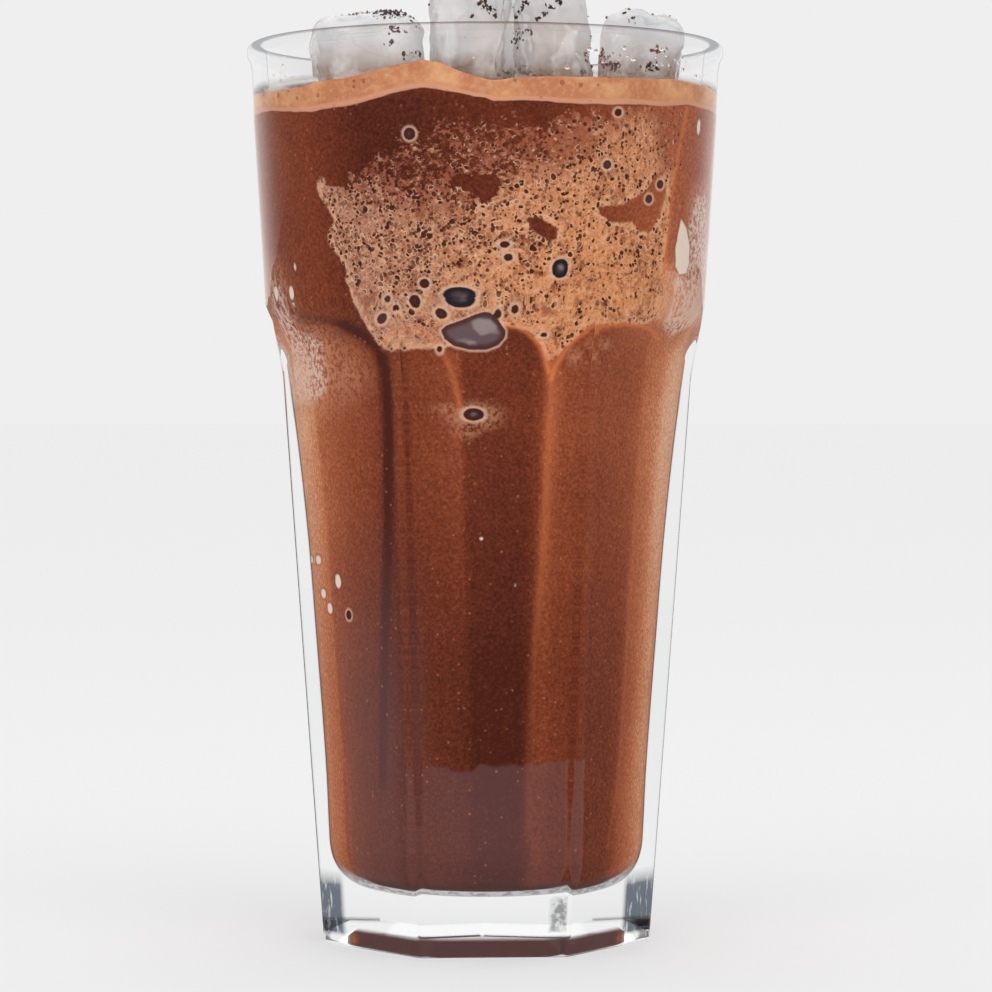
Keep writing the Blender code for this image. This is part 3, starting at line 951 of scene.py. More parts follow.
    # Painted caustic lines of light, and painted shade lines where the strength is below zero.
    lines: tuple[WallLine, ...] = (
        WallLine(((20.7, 108.4), (22.6, 99.6), (22.6, 88.8), (22.5, 74.7), (21.6, 65.8),
                  (20.1, 57), (19.1, 46.3), (18.4, 35.6), (18.5, 21.4)), 0.95, 0.3, 94, 38),
        WallLine(((-30.8, 109), (-29.3, 110.8), (-26.2, 111.9), (-22.4, 112.3),
                  (-18.6, 111.9), (-16.1, 110.4), (-14.6, 108.3)), 0.6, 0.22),
        WallLine(((3.1, 113.2), (6.7, 113.4), (10.2, 113), (13.2, 112), (16, 110.3), (17.8, 108.8),
                  (19.4, 107), (21.1, 104.5)), 0.42, 0.7),
        WallLine(((22.3, 103.1), (23.4, 105.6), (25.3, 107.4), (27.5, 109.3), (29.5, 110.9),
                  (32.6, 112),
                  (33.3, 112.9), (38.8, 114), (44.3, 114.4), (51.6, 114.4), (58.1, 113.9),
                  (67, 111.4)), 0.5, 0.62),
        WallLine(((-13.9, 108.4), (-12.7, 106.6), (-11.5, 104.8), (-10.3, 102.7), (-9.1, 99.8),
                  (-8.5, 96.9)), 0.6, 0.34),
        WallLine(((-75.4, 100.5), (-70.5, 85.7), (-73.4, 67.5), (-72.7, 49.3),
                  (-73, 38.2), (-67.5, 27.4), (-67.8, 16.4)), 0.6, 0.12),
        WallLine(((61.5, 109.6), (61, 99.9), (62.6, 85.5), (63.8, 71), (64.2, 56.5),
                  (64.3, 45.7), (63.4, 31.1), (56.8, 18.6)), 0.8, 0.12),
        WallLine(((61, 152.1), (59.8, 148.1), (58.7, 144.1), (57.5, 139), (57.2, 134.6),
                  (57.5, 129.2),
                  (57.9, 124), (57.2, 120.6)), 0.5, 0.5),
        WallLine(((36.7, 34.6), (37.4, 25.1), (38.1, 11.7)), 0.35, 0.1),
        WallLine(((-45.6, 114.2), (-37.9, 111.3), (-32.9, 108.7), (-30.5, 105), (-30.1, 101.3),
                  (-30.4, 96),
                  (-31.1, 90.6), (-33.2, 78.1), (-36.1, 63.7), (-39.7, 45.6), (-42.5, 31.1)),
                  1.3, -0.3),
        WallLine(((-67.8, 116.7), (-54.5, 115.8), (-45.6, 114.2), (-39.3, 112.2)), 1.0, -0.2))
    marks: tuple[WallMark, ...] = (
        *ovals(MarkKind.DEEP_HOLE,
               (-7.3, 118.1, 2.75, 1.35), (21.1, 122.6, 1.42, 1.65)),
        *ovals(MarkKind.WIDE_HOLE,
               (-30.3, 114.6, 1.0, 0.85), (-28.6, 117.4, 0.6, 0.55), (32.8, 140.8, 0.85, 0.81),
               (47.8, 135.2, 0.86, 0.77), (51.7, 137.9, 0.87, 0.77)),
        *ovals(MarkKind.BROWN_HOLE,
               (-13.1, 115.6, 1.03, 0.88), (3.7, 115.8, 0.63, 0.87), (-4.1, 96.8, 1.8, 1.09),
               (-20.3, 117.1, 0.94, 0.97), (-17.1, 120, 0.88, 0.79), (-26.2, 115.9, 0.5, 0.5),
               (-19.3, 145.9, 1.04, 1.04), (-59.2, 60.6, 0.8, 0.85), (5.3, 126.6, 0.9, 0.6),
               (6.3, 124.4, 0.8, 0.6), (8.6, 116.6, 0.63, 0.71), (35.2, 150, 0.76, 0.67),
               (-14.9, 108.6, 0.47, 0.66), (18.5, 111.6, 0.66, 0.47)),
        # Drops and small bubbles at the wall, drawn with a painted highlight.
        *ovals(MarkKind.HIGHLIT_DROP,
               (-65.8, 66.7, 1.15, 1.4), (-74.6, 61.6, 1.2, 1.1), (-80.5, 64.2, 1.5, 0.95),
               (-84.0, 70.4, 1.7, 0.9), (-1.6, 74.8, 0.38, 0.38), (11.5, 66.5, 0.29, 0.29),
               (68.6, 148.8, 0.88, 1.66), (-78.2, 119.4, 1.09, 1.38), (-67.3, 119.4, 0.88, 1.27),
               (-63.3, 123.7, 0.49, 0.88)),
        WallMark(-3, 111.8, 4.7, 3.76, MarkKind.WIDE_HOLE, (
            (-14.1, 112.4), (-12.4, 113.4), (-7.6, 114.5), (-3, 115.7), (-0.3, 116.2),
            (1.8, 115.9), (4.2, 114.3), (6.2, 112.3), (6, 110.8), (4.1, 109.2), (0.3, 108.4),
            (-5.4, 108.4), (-10.2, 109.1), (-13.1, 110.8))),
        WallMark(65.5, 127, 2.1, 4.8, MarkKind.HIGHLIT_DROP, (
            (63.1, 132.4), (66.7, 130.8), (70.1, 127.8), (71.6, 124.8), (70.6, 122.7),
            (66.2, 122.4), (63.3, 123.6), (62, 126.7), (62.4, 129.9))))

    def tone(self, points: np.ndarray) -> np.ndarray:
        """How light the plain drink is, from 0 for the deepest brown to 1 for tan: painted light
        and shade across the panels, lighter in the peach patch and darker towards the base.

        Args:
            points: places on the unrolled wall, in millimetres.

        Returns:
            The tone at each place.
        """
        angle = points[:, 0] / MM_PER_DEGREE
        height = points[:, 1]
        rows = [np.interp(angle, *np.array(table).T) for table in
                (self.across_low, self.across_high, self.across_top)]
        up = np.clip((height - 49.0) / 47.0, 0.0, 1.0)
        tone = rows[0] + (rows[1] - rows[0]) * up
        tone += (rows[2] - tone) * ease(height, 105.0, 117.0)
        tone += 0.3 * ease(depth_inside(on_flat_wall(self.peach), points), -1.5, 1.5)
        return tone + (0.1 - tone) * ease(height, *BASE_FADE)

    def paint(self, obj: bpy.types.Object, angles: np.ndarray, heights: np.ndarray,
              radius_at: Callable[[float], float]) -> None:
        """Stores the painting's values on a mesh at the wall.

        Args:
            obj: the mesh.
            angles: each point's degrees to the right of the front.
            heights: each point's height in millimetres.
            radius_at: gives the wall's radius at a height.
        """
        folded = fold_to_front(angles)
        points = np.column_stack((folded * MM_PER_DEGREE, heights))
        # Painted light and shade: shade lines darken the tone, caustic lines of light are stored
        # apart.
        lines = [line.tone(points) for line in self.lines]
        store_values(obj, "tone", self.tone(points) + sum(np.minimum(line, 0) for line in lines))
        store_values(obj, "caustic_light", sum(np.maximum(line, 0) for line in lines))
        patch = depth_inside(on_flat_wall(self.froth_patch), points)
        for smear in self.smears:
            patch = np.minimum(patch, -depth_inside(on_flat_wall(smear), points))
        store_values(obj, "patch", patch)
        over = heights - np.interp(folded, *np.array(self.solid_top).T)
        store_values(obj, "ragged", ease(over, -3.0, 5.0))
        store_values(obj, "dense", np.interp(over, *np.array(self.thinning).T))
        airy = ease(heights, 114.0, 128.0) * (0.35 + 0.65 * ease(folded, 34.0, 2.0))
        store_values(obj, "airy", airy)
        store_values(obj, "warm", ease(folded, -38.0, 28.0) * (1 - 0.3 * ease(heights, 124, 141)))
        frost = ease(depth_inside(on_flat_wall(self.frosted), points), -5, 4)
        frost = frost * (0.64 + 0.36 * ease(folded, -52.0, -68.0))
        for angle, height, half_width, half_height in self.islands:
            island = WallMark(angle, height, half_width, half_height)
            depth = island.depth(points, radius_at(height))
            frost = np.maximum(frost, 0.62 * ease(depth, -1.2, 1))
        frost = np.maximum(frost, ease(depth_inside(on_flat_wall(self.bubbly), points), -3, 3))
        store_values(obj, "frost", frost)
        # Painted floor reflection over the lower front panel.
        reflection_haze = depth_inside(on_flat_wall(self.reflection_haze), points)
        store_values(obj, "reflection_haze", reflection_haze)
        # Painted floor reflection on the lower left and along the drink's base.
        side = ease(folded, -19.0, -40.0) * ease(heights, 87.0, 38.0) * ease(folded, -78, -62)
        store_values(obj, "reflection_tint", np.maximum(side, 1.6 * ease(heights, *BASE_FADE)))
        hole = np.full(len(points), -9.0)
        wide = np.zeros(len(points))
        drop = np.full(len(points), -9.0)
        for mark in self.marks:
            depth = mark.depth(points, radius_at(mark.height))
            if mark.kind is MarkKind.HIGHLIT_DROP:
                drop = np.maximum(drop, depth)
                continue
            nearest = depth > hole
            hole = np.where(nearest, depth, hole)
            wide = np.where(nearest, mark.kind.value / 2, wide)
        store_values(obj, "hole", np.maximum(hole, -9.0))
        store_values(obj, "wide", wide)
        store_values(obj, "drop", drop)


def drink_tone_group() -> bpy.types.NodeTree:
    """The plain drink's colour from its tone, with a fine speckle and a painted floor reflection.
    """
    tree, graph, entry, leave = new_group(
        "drink_tones", (("Place", "Vector", 0.0), ("Tone", "Float", 0.3),
                        ("Reflection tint", "Float", 0.0)), (("Colour", "Color"),))
    where = entry.outputs["Place"]
    cloud = graph.fit(graph.noise(where, 70.0, 3.0, 0.55), 0.16, -0.08)
    grain = graph.fit(graph.noise(where, 1700.0, 2.0, 0.75), 0.7, -0.35)
    tone = graph.math("ADD", graph.math("ADD", entry.outputs["Tone"], cloud), grain)
    colour = graph.ramp(graph.times(tone, 0.8), (
        (0.0, rgb(74, 27, 13)), (0.16, rgb(103, 44, 25)), (0.32, rgb(135, 64, 37)),
        (0.48, rgb(166, 88, 55)), (0.64, rgb(197, 120, 80)), (0.8, rgb(226, 168, 132)),
        (1.0, rgb(236, 214, 204))))
    # Painted floor reflection: a purple-grey tint.
    reflection_tint = graph.mix(graph.times(entry.outputs["Reflection tint"], 0.5), colour,
                     rgb(112, 80, 80))
    specks = graph.cells(where, 1050.0)
    parts = graph.parts(specks["Color"], "SeparateColor")
    light = graph.times(graph.band(specks["Distance"], 0.34, 0.12),
                       graph.band(parts[0], 0.84, 1.0, 0.0, 0.36))
    graph.feed(leave.inputs["Colour"], graph.mix(light, reflection_tint, rgb(206, 138, 92)))
    return tree


@dataclass(frozen=True)
class DrinkFinish:
    """Milk chocolate behind glass: smooth brown, with froth clinging to the wall, and painted
    light and shade from the glass: caustic lines, edge lines, a floor reflection and highlights on
    drops.
    """

    froth_cool: Colour = rgb(174, 120, 98)
    froth_warm: Colour = rgb(210, 136, 86)
    froth_shade: Colour = rgb(140, 76, 48)
    froth_light: Colour = rgb(230, 176, 138)
    froth_thin: Colour = rgb(138, 66, 46)
    # Painted caustic light that the panels focus on the drink.
    caustic_light: Colour = rgb(222, 124, 72)
    hole_brown: Colour = rgb(62, 22, 13)
    deep_hole: Colour = rgb(34, 31, 36)
    wide_hole: Colour = rgb(78, 46, 46)
    small_hole: Colour = rgb(64, 34, 28)
    # Painted sheen deep inside the holes, and a painted glint.
    hole_sheen: Colour = rgb(116, 96, 100)
    hole_glint: Colour = rgb(158, 140, 140)
    hole_rim: Colour = rgb(222, 180, 154)
    bubble_rim: Colour = rgb(228, 184, 150)
    # Painted shade line and highlight line where the drink turns away, up its sides and along its
    # base.
    edge_highlight: Colour = rgb(238, 238, 240)
    edge_line_shade: Colour = rgb(96, 66, 62)
    side_lines: tuple[float, float] = (98.0, 108.0)
    base_lines: tuple[float, float] = (10.8, 15.0)
    # Painted highlight of the drops, and their darker edge.
    drop: Colour = rgb(240, 222, 206)
    drop_edge: Colour = rgb(96, 52, 38)
    bend: Point = (0.0009, 0.0009, 0.0009)
    frost: Colour = rgb(202, 140, 108)
    frost_pale: Colour = rgb(226, 196, 180)
    bubbles: tuple[tuple[float, float, float, float], ...] = (
        (1350.0, 0.5, 0.3, 1.0), (760.0, 0.36, 0.1, 0.75))

    def froth_mask(self, graph: Graph, where: bpy.types.NodeSocket) -> bpy.types.NodeSocket:
        """Where froth clings to the wall, with a torn upper border.

        Args:
            graph: the material's graph.
            where: the Object coordinates.

        Returns:
            The mask's socket.
        """
        ragged = graph.value_of("ragged")
        tear = graph.math("SUBTRACT", graph.noise(where, 230.0, 4.0, 0.68), 0.5)
        reach = graph.fit(ragged, 16.0, 2.0)
        edge = graph.fit(tear, reach, graph.value_of("patch"))
        streak = graph.add("Mapping")
        graph.feed(streak.inputs["Vector"], where)
        streak.inputs["Rotation"].default_value = (0.0, math.radians(28.0), 0.0)
        streak.inputs["Scale"].default_value = (1.0, 1.0, 1.4)
        strands = graph.noise(streak.outputs[0], 900.0, 4.0, 0.72)
        clumps = graph.fit(graph.noise(where, 130.0, 2.0, 0.6), 0.5, -0.25)
        amount = graph.math("ADD", strands, graph.fit(graph.value_of("dense"), 0.55, clumps))
        full = graph.band(edge, -0.25, 0.3)
        return graph.times(full, graph.band(amount, 0.66, 0.8))

    def wall_froth(self, graph: Graph, where: bpy.types.NodeSocket, holes: bpy.types.NodeTree,
                   fine: bpy.types.NodeSocket, uneven: bpy.types.NodeSocket,
                   wobble: bpy.types.Node) -> bpy.types.NodeSocket:
        """The colour of the froth at the wall, with its skins and bubble holes.

        Args:
            graph: the material's graph.
            where: the Object coordinates.
            holes: the shader group of bubble holes.
            fine: a fine noise.
            uneven: a coarser noise about zero.
            wobble: the noise node that bends the bubbles out of round.

        Returns:
            The colour's socket.
        """
        cloud = graph.noise(where, 170.0, 2.0, 0.65)
        froth = graph.mix(graph.value_of("warm"), self.froth_cool, self.froth_warm)
        froth = graph.lay(froth, self.froth_shade, cloud, 0.5, 0.32, 0.6)
        froth = graph.lay(froth, self.froth_shade, fine, 0.49, 0.33, 0.85)
        froth = graph.lay(froth, self.froth_light, fine, 0.52, 0.68, 0.7)
        foam = graph.cells(where, 900.0, "DISTANCE_TO_EDGE")
        froth = graph.lay(froth, self.froth_light, foam["Distance"], 0.1, 0.02, 0.4)
        froth = graph.lay(froth, self.froth_thin, graph.value_of("dense"), 0.86, 0.45, 0.78)
        # Painted highlight: a light rim along the froth patch's smooth border.
        border = graph.value_of("patch")
        border = graph.times(graph.band(border, -0.1, 0.25), graph.band(border, 1.3, 0.5))
        border = graph.times(border, graph.band(graph.value_of("ragged"), 0.5, 0.0))
        froth = graph.mix(graph.times(border, 0.45), froth, self.froth_light)
        froth = graph.lay(froth, self.froth_shade, uneven, -0.02, -0.16, 0.7)
        froth = graph.lay(froth, self.froth_light, uneven, 0.04, 0.18, 0.55)
        shift = graph.add("VectorMath", operation="MULTIPLY_ADD")
        for socket, value in zip(shift.inputs, (wobble.outputs["Color"], self.bend, where)):
            graph.feed(socket, value)
        airy = graph.value_of("airy")
        crowd = graph.band(cloud, 0.62, 0.38, -0.22, 0.3)
        small, middle = (graph.group(holes, {
            "Place": shift.outputs[0], "Cells per metre": count, "Size": size,
            "Share": graph.math("ADD", graph.fit(airy, high - low, low), crowd)})
            for count, size, low, high in self.bubbles)
        froth = graph.mix(graph.times(middle["Rim"], 0.6), froth, self.bubble_rim)
        pits = graph.math("MAXIMUM", small["Hole"], middle["Hole"])
        depth = graph.band(wobble.outputs["Fac"], 0.35, 0.6, 0.5, 0.95)
        return graph.mix(graph.times(pits, depth), froth, self.hole_brown)

    def marked(self, graph: Graph, where: bpy.types.NodeSocket, uneven: bpy.types.NodeSocket,
               colour: bpy.types.NodeSocket) -> bpy.types.NodeSocket:
        """Sets the large bubbles and the drops over a colour, the drops with a painted highlight
        and the holes with a painted sheen and glint.

        Args:
            graph: the material's graph.
            where: the Object coordinates.
            uneven: a noise about zero that makes the outlines uneven.
            colour: the colour that the marks go over.

        Returns:
            The colour with the marks.
        """
        hole = graph.fit(uneven, 0.35, graph.value_of("hole"))
        rim = graph.times(graph.band(hole, -0.7, -0.2), graph.band(hole, 0.06, -0.12))
        colour = graph.mix(graph.times(rim, 0.6), colour, self.hole_rim)
        kind = graph.value_of("wide")
        inside = graph.lay(self.deep_hole, self.wide_hole, kind, 0.1, 0.4)
        inside = graph.lay(inside, self.small_hole, kind, 0.6, 0.9)
        # Painted sheen and glint inside the holes.
        inside = graph.lay(inside, self.hole_sheen, hole, 0.35, 1.5, 0.6)
        glint = graph.band(graph.noise(where, 230.0, 1.0), 0.52, 0.66, 0.0, 0.75)
        inside = graph.mix(graph.times(glint, graph.band(hole, 0.5, 1.4)), inside,
                           self.hole_glint)
        colour = graph.lay(colour, inside, hole, -0.1, 0.12)
        # Painted highlight of the drops, with a darker edge.
        drop = graph.fit(uneven, 0.7, graph.value_of("drop"))
        edge = graph.times(graph.band(drop, -0.45, -0.1), graph.band(drop, 0.1, 0.0))
        colour = graph.mix(graph.times(edge, 0.35), colour, self.drop_edge)
        return graph.lay(colour, self.drop, drop, -0.1, 0.35, 0.92)

    def edge_lines(self, graph: Graph, where: bpy.types.NodeSocket,
                   uneven: bpy.types.NodeSocket,
                   colour: bpy.types.NodeSocket) -> bpy.types.NodeSocket:
        """Paints a shade line and a highlight line where the drink turns away from the viewer.

        Args:
            graph: the material's graph.
            where: the Object coordinates.
            uneven: a noise that breaks the lines along the drink's base.
            colour: the colour that the lines go over.

        Returns:
            The colour with its lines.
        """
        height = graph.parts(where)["Z"]
        facing = graph.add("LayerWeight")
        facing.inputs["Blend"].default_value = 0.5
        turned = facing.outputs["Facing"]
        side_low, side_high = (z * MM for z in self.side_lines)
        base_low, base_high = (z * MM for z in self.base_lines)
        low = graph.times(graph.band(height, base_high, base_low),
                          graph.band(uneven, 0.42, 0.52, 0.55, 1.0))
        # Painted shade line first, then painted highlight line.
        for shade, strength, side, base in ((self.edge_line_shade, 0.75, (0.8, 0.84), (0.52, 0.58)),
                                            (self.edge_highlight, 1.0, (0.88, 0.9), (0.64, 0.7))):
            line = graph.times(graph.band(turned, *side),
                               graph.band(height, side_high, side_low, 0.0, strength))
            line = graph.math("MAXIMUM", line, graph.times(low, graph.band(turned, *base)))
            colour = graph.mix(line, colour, shade)
        return colour

    def make(self, name: str, holes: bpy.types.NodeTree,
             tones: bpy.types.NodeTree) -> bpy.types.Material:
        """Makes the material.

        Args:
            name: the material's name.
            holes: the shader group of bubble holes.
            tones: the shader group of the plain drink's colour.

        Returns:
            The drink's material.
        """
        mat, graph, shader = new_material(name, {"Specular IOR Level": 0.1})
        where = graph.place()
        wave = graph.fit(graph.noise(where, 300.0, 3.0), 3.0, -1.5)
        # Painted floor reflection, with a wavy edge.
        reflection_haze = graph.band(graph.math("ADD", graph.value_of("reflection_haze"), wave), -0.4, 0.6, 0.0, 0.85)
        plain = graph.group(tones, {
            "Place": where, "Tone": graph.value_of("tone"),
            "Reflection tint": graph.math("MAXIMUM", reflection_haze, graph.value_of("reflection_tint"))})
        colour = plain["Colour"]

        fine = graph.noise(where, 1150.0, 3.0, 0.78)
        frost = graph.value_of("frost")
        grains = graph.lay(self.frost, self.frost_pale, frost, 0.72, 1.0)
        frost = graph.times(frost, graph.band(fine, 0.4, 0.56))
        colour = graph.mix(graph.times(frost, 0.85), colour, grains)

        wobble = graph.add("TexNoise")
        for socket, value in (("Vector", where), ("Scale", 640.0), ("Detail", 1.0)):
            graph.feed(wobble.inputs[socket], value)
        uneven = graph.fit(graph.noise(where, 420.0, 3.0, 0.6), 0.8, -0.4)
        froth = self.wall_froth(graph, where, holes, fine, uneven, wobble)
        mask = self.froth_mask(graph, where)
        colour = graph.mix(mask, colour, froth)
        # Painted caustic light.
        colour = graph.mix(graph.value_of("caustic_light"), colour, self.caustic_light)
        colour = self.marked(graph, where, uneven, colour)
        colour = self.edge_lines(graph, where, wobble.outputs["Fac"], colour)
        graph.feed(shader.inputs["Base Color"], colour)
        graph.feed(shader.inputs["Roughness"], graph.band(mask, 0.0, 1.0, 0.42, 0.62))
        uneven_skin = graph.noise(where, 600.0, 1.0)
        graph.feed(shader.inputs["Normal"], graph.bump(uneven_skin, 0.25, 0.0003))
        return mat


@dataclass
class ChocolateDrink:
    """The drink that fills the glass up to the froth."""

    glass: FacetedGlass
    level: FrothLevel
    into_wall: float = 0.05
    into_thick_wall: float = 0.5
    under_lap: float = 0.3
    rows: int = 262
    rows_from: float = 24.0
    front_columns: int = 250
    back_columns: int = 60
    painting: WallPainting = WallPainting()
    finish: DrinkFinish = DrinkFinish()

    def angles(self) -> list[float]:
        """Angles of the columns, closest together on the front half."""
        front = [-math.pi + math.pi * i / self.front_columns for i in range(self.front_columns)]
        back = [math.pi * i / self.back_columns for i in range(self.back_columns)]
        return front + back

    def reach(self, z: float) -> float:
        """How far the drink reaches into the wall at a height, more in the thick part."""
        return table_at(((10.0, self.into_wall), (17.0, self.into_thick_wall),
                         (100.0, self.into_thick_wall), (125.0, self.into_wall)), z)

    def rings(self) -> list[Ring]:
        """The drink's skin from the middle of its base to the middle of its top."""
        angles = self.angles()
        low = [row for row in smooth_path(self.glass.inside[::-1], 6) if row[0] < self.rows_from]
        rings = [round_ring(low[0][0] - self.into_wall, r, angles) for r in (1.0, 6.0)]
        for z, radius in low:
            sink = self.into_wall if z < 12.0 else 0.0
            rings.append(round_ring(z - sink, radius + self.reach(z), angles))
        tops = []
        for angle in angles:
            x, y = FROTH_RADIUS * math.cos(angle), FROTH_RADIUS * math.sin(angle)
            tops.append(self.level.top(x, y) - self.level.thickness(x, y))
        for k in range(1, self.rows + 1):
            ring = []
            for angle, top in zip(angles, tops):
                z = self.rows_from + (top - self.rows_from) * k / self.rows
                radius = self.glass.inside_radius(z) + self.reach(z)
                ring.append(on_circle(radius, angle, z))
            rings.append(ring)
        for lift in (0.04, 1.8):
            ring = []
            for angle, top in zip(angles, tops):
                radius = self.glass.inside_radius(top + lift) + self.into_wall - 0.04
                ring.append(on_circle(radius, angle, top + lift))
            rings.append(ring)
        edge = rings[-1]
        for share in (0.9, 0.7, 0.4, 0.05):
            ring = []
            for x, y, _ in edge:
                px, py = x * share, y * share
                ring.append((px, py, self.level.top(px, py)
                             - self.level.thickness(px, py) + self.under_lap))
            rings.append(ring)
        return rings

    def build(self, holes: bpy.types.NodeTree, tones: bpy.types.NodeTree) -> bpy.types.Object:
        """Builds the drink as one closed skin.

        Args:
            holes: the shader group of bubble holes.
            tones: the shader group of the plain drink's colour.

        Returns:
            The finished piece.
        """
        obj = skin_of_rings("milk_chocolate", self.rings())
        places = points_of(obj)
        angles = np.degrees(np.arctan2(places[:, 0], -places[:, 1]))
        self.painting.paint(obj, angles, places[:, 2], self.glass.inside_radius)
        obj.data.materials.append(self.finish.make("milk_chocolate", holes, tones))
        place_piece(obj, ("chocolate_drink",))
        return obj


@dataclass(frozen=True)
class FrothFinish:
    """Light brown froth with fine bubbles, and the drink's own brown at the wall."""

    light: Colour = rgb(222, 160, 112)
    dark: Colour = rgb(196, 124, 84)
    pale: Colour = rgb(232, 180, 148)
    pit: Colour = rgb(120, 62, 42)
    line: Colour = rgb(216, 152, 122)

    def make(self, name: str, holes: bpy.types.NodeTree,
             tones: bpy.types.NodeTree) -> bpy.types.Material:
        """Makes the material.

        Args:
            name: the material's name.
            holes: the shader group of bubble holes.
            tones: the shader group of the plain drink's colour.

        Returns:
            The froth's material.
        """
        mat, graph, shader = new_material(name, {"Roughness": 0.5, "Specular IOR Level": 0.25})
        where = graph.place()
        cloud = graph.noise(where, 140.0, 5.0, 0.65)
        colour = graph.lay(self.dark, self.light, cloud, 0.38, 0.62)
        fine = graph.noise(where, 900.0, 3.0, 0.6)
        colour = graph.lay(colour, self.pale, fine, 0.45, 0.7, 0.35)
        pits = graph.group(holes, {"Place": where, "Cells per metre": 620.0, "Size": 0.3,
                                   "Share": 0.22})
        colour = graph.mix(graph.times(pits["Hole"], 0.5), colour, self.pit)
        wall = graph.value_of("wall_depth")
        plain = graph.group(tones, {"Place": where, "Tone": graph.value_of("tone")})
        wave = graph.fit(graph.noise(where, 220.0, 3.0), 0.5, -0.25)
        drop = graph.math("ADD", wall, wave)
        colour = graph.lay(colour, self.dark, drop, 1.6, 2.5, 0.4)
        colour = graph.lay(colour, self.line, drop, 2.2, 2.5, 0.8)
        colour = graph.lay(colour, plain["Colour"], drop, 2.8, 3.0)
        graph.feed(shader.inputs["Base Color"], colour)
        rise = graph.math("SUBTRACT", fine, graph.times(pits["Hole"], 0.8))
        graph.feed(shader.inputs["Normal"], graph.bump(rise, 0.6, 0.0005))
        return mat


@dataclass
class Froth:
    """The froth that lies on the drink and stands against the wall."""

    glass: FacetedGlass
    level: FrothLevel
    into_wall: float = 0.06
    wall_lap: float = 0.02
    wall_rows: int = 10
    columns: int = 360
    rings_across: int = 110
    painting: WallPainting = WallPainting()
    finish: FrothFinish = FrothFinish()

    def wall(self, angle: float, share: float) -> Point:
        """Where the surface a share of the thickness below the top meets the wall."""
        x, y = FROTH_RADIUS * math.cos(angle), FROTH_RADIUS * math.sin(angle)
        z = self.level.top(x, y) - share * (self.level.thickness(x, y) + self.wall_lap)
        radius = self.glass.inside_radius(z) + self.into_wall
        return on_circle(radius, angle, z)

    def build(self, holes: bpy.types.NodeTree, tones: bpy.types.NodeTree) -> bpy.types.Object:
        """Builds the froth as one closed skin.

        Args:
            holes: the shader group of bubble holes.
            tones: the shader group of the plain drink's colour.

        Returns:
            The finished piece.
        """
        angles = [2 * math.pi * i / self.columns for i in range(self.columns)]
        rings = []
        for share in (0.03, 0.5, 0.9):
            rings.append([(x * share, y * share, z - 0.3) for x, y, z in
                          (self.wall(a, 1.0) for a in angles)])
        for k in range(self.wall_rows + 1):
            rings.append([self.wall(a, 1 - k / self.wall_rows) for a in angles])
        edge = rings[-1]
        for k in range(1, self.rings_across):
            share = 1 - k / self.rings_across
            ring = []
            for x, y, _ in edge:
                px, py = x * share, y * share
                bump = 0.3 * noise.fractal(Vector((px * 0.35, py * 0.35, 7.0)), 0.9, 2.0, 5)
                ring.append((px, py, self.level.top(px, py) + bump * min(1.0, k / 4)))
            rings.append(ring)
        obj = skin_of_rings("froth_layer", rings)
        places = points_of(obj)
        folded = fold_to_front(np.degrees(np.arctan2(places[:, 0], -places[:, 1])))
        flat = np.column_stack((folded * MM_PER_DEGREE, places[:, 2]))
        store_values(obj, "tone", self.painting.tone(flat))
        depth = np.zeros(len(places))
        first = 3 * self.columns
        for k in range(self.wall_rows + 1):
            start = first + k * self.columns
            depth[start:start + self.columns] = 3.0 * (1 - k / self.wall_rows)
        depth[:first] = 3.0
        store_values(obj, "wall_depth", depth)
        obj.data.materials.append(self.finish.make("froth_layer", holes, tones))
        place_piece(obj, ("froth",))
        return obj


# The ice


@dataclass(frozen=True)
class IceFinish:
    """Wet melting ice, clear at its skin and cloudy inside, with the froth seen through its base
    painted on as a brown tint.
    """

    grey: Colour = rgb(226, 230, 233)
    white: Colour = rgb(254, 254, 254)
    froth_seen_through: Colour = rgb(146, 112, 86)

    def make(self, name: str) -> bpy.types.Material:
        """Makes the material.

        Args:
            name: the material's name.

        Returns:
            The ice's material.
        """
        mat, graph, shader = new_material(name, {
            "Roughness": 0.07, "IOR": 1.31, "Transmission Weight": 0.62})
        where = graph.place()
        cloud = graph.noise(where, 75.0, 3.0, 0.55)
        colour = graph.lay(self.grey, self.white, cloud, 0.35, 0.62)
        # Painted refraction: the froth's brown seen through the ice low down.
        froth_seen_through = graph.times(graph.value_of("froth_seen_through"),
                           graph.band(graph.noise(where, 120.0, 3.0, 0.6), 0.36, 0.56))
        colour = graph.mix(graph.times(froth_seen_through, 0.9), colour, self.froth_seen_through)
        graph.feed(shader.inputs["Base Color"], colour)
        ripple = graph.noise(where, 130.0, 2.5, 0.5)
        graph.feed(shader.inputs["Normal"], graph.bump(ripple, 0.55, 0.0012))
        return mat


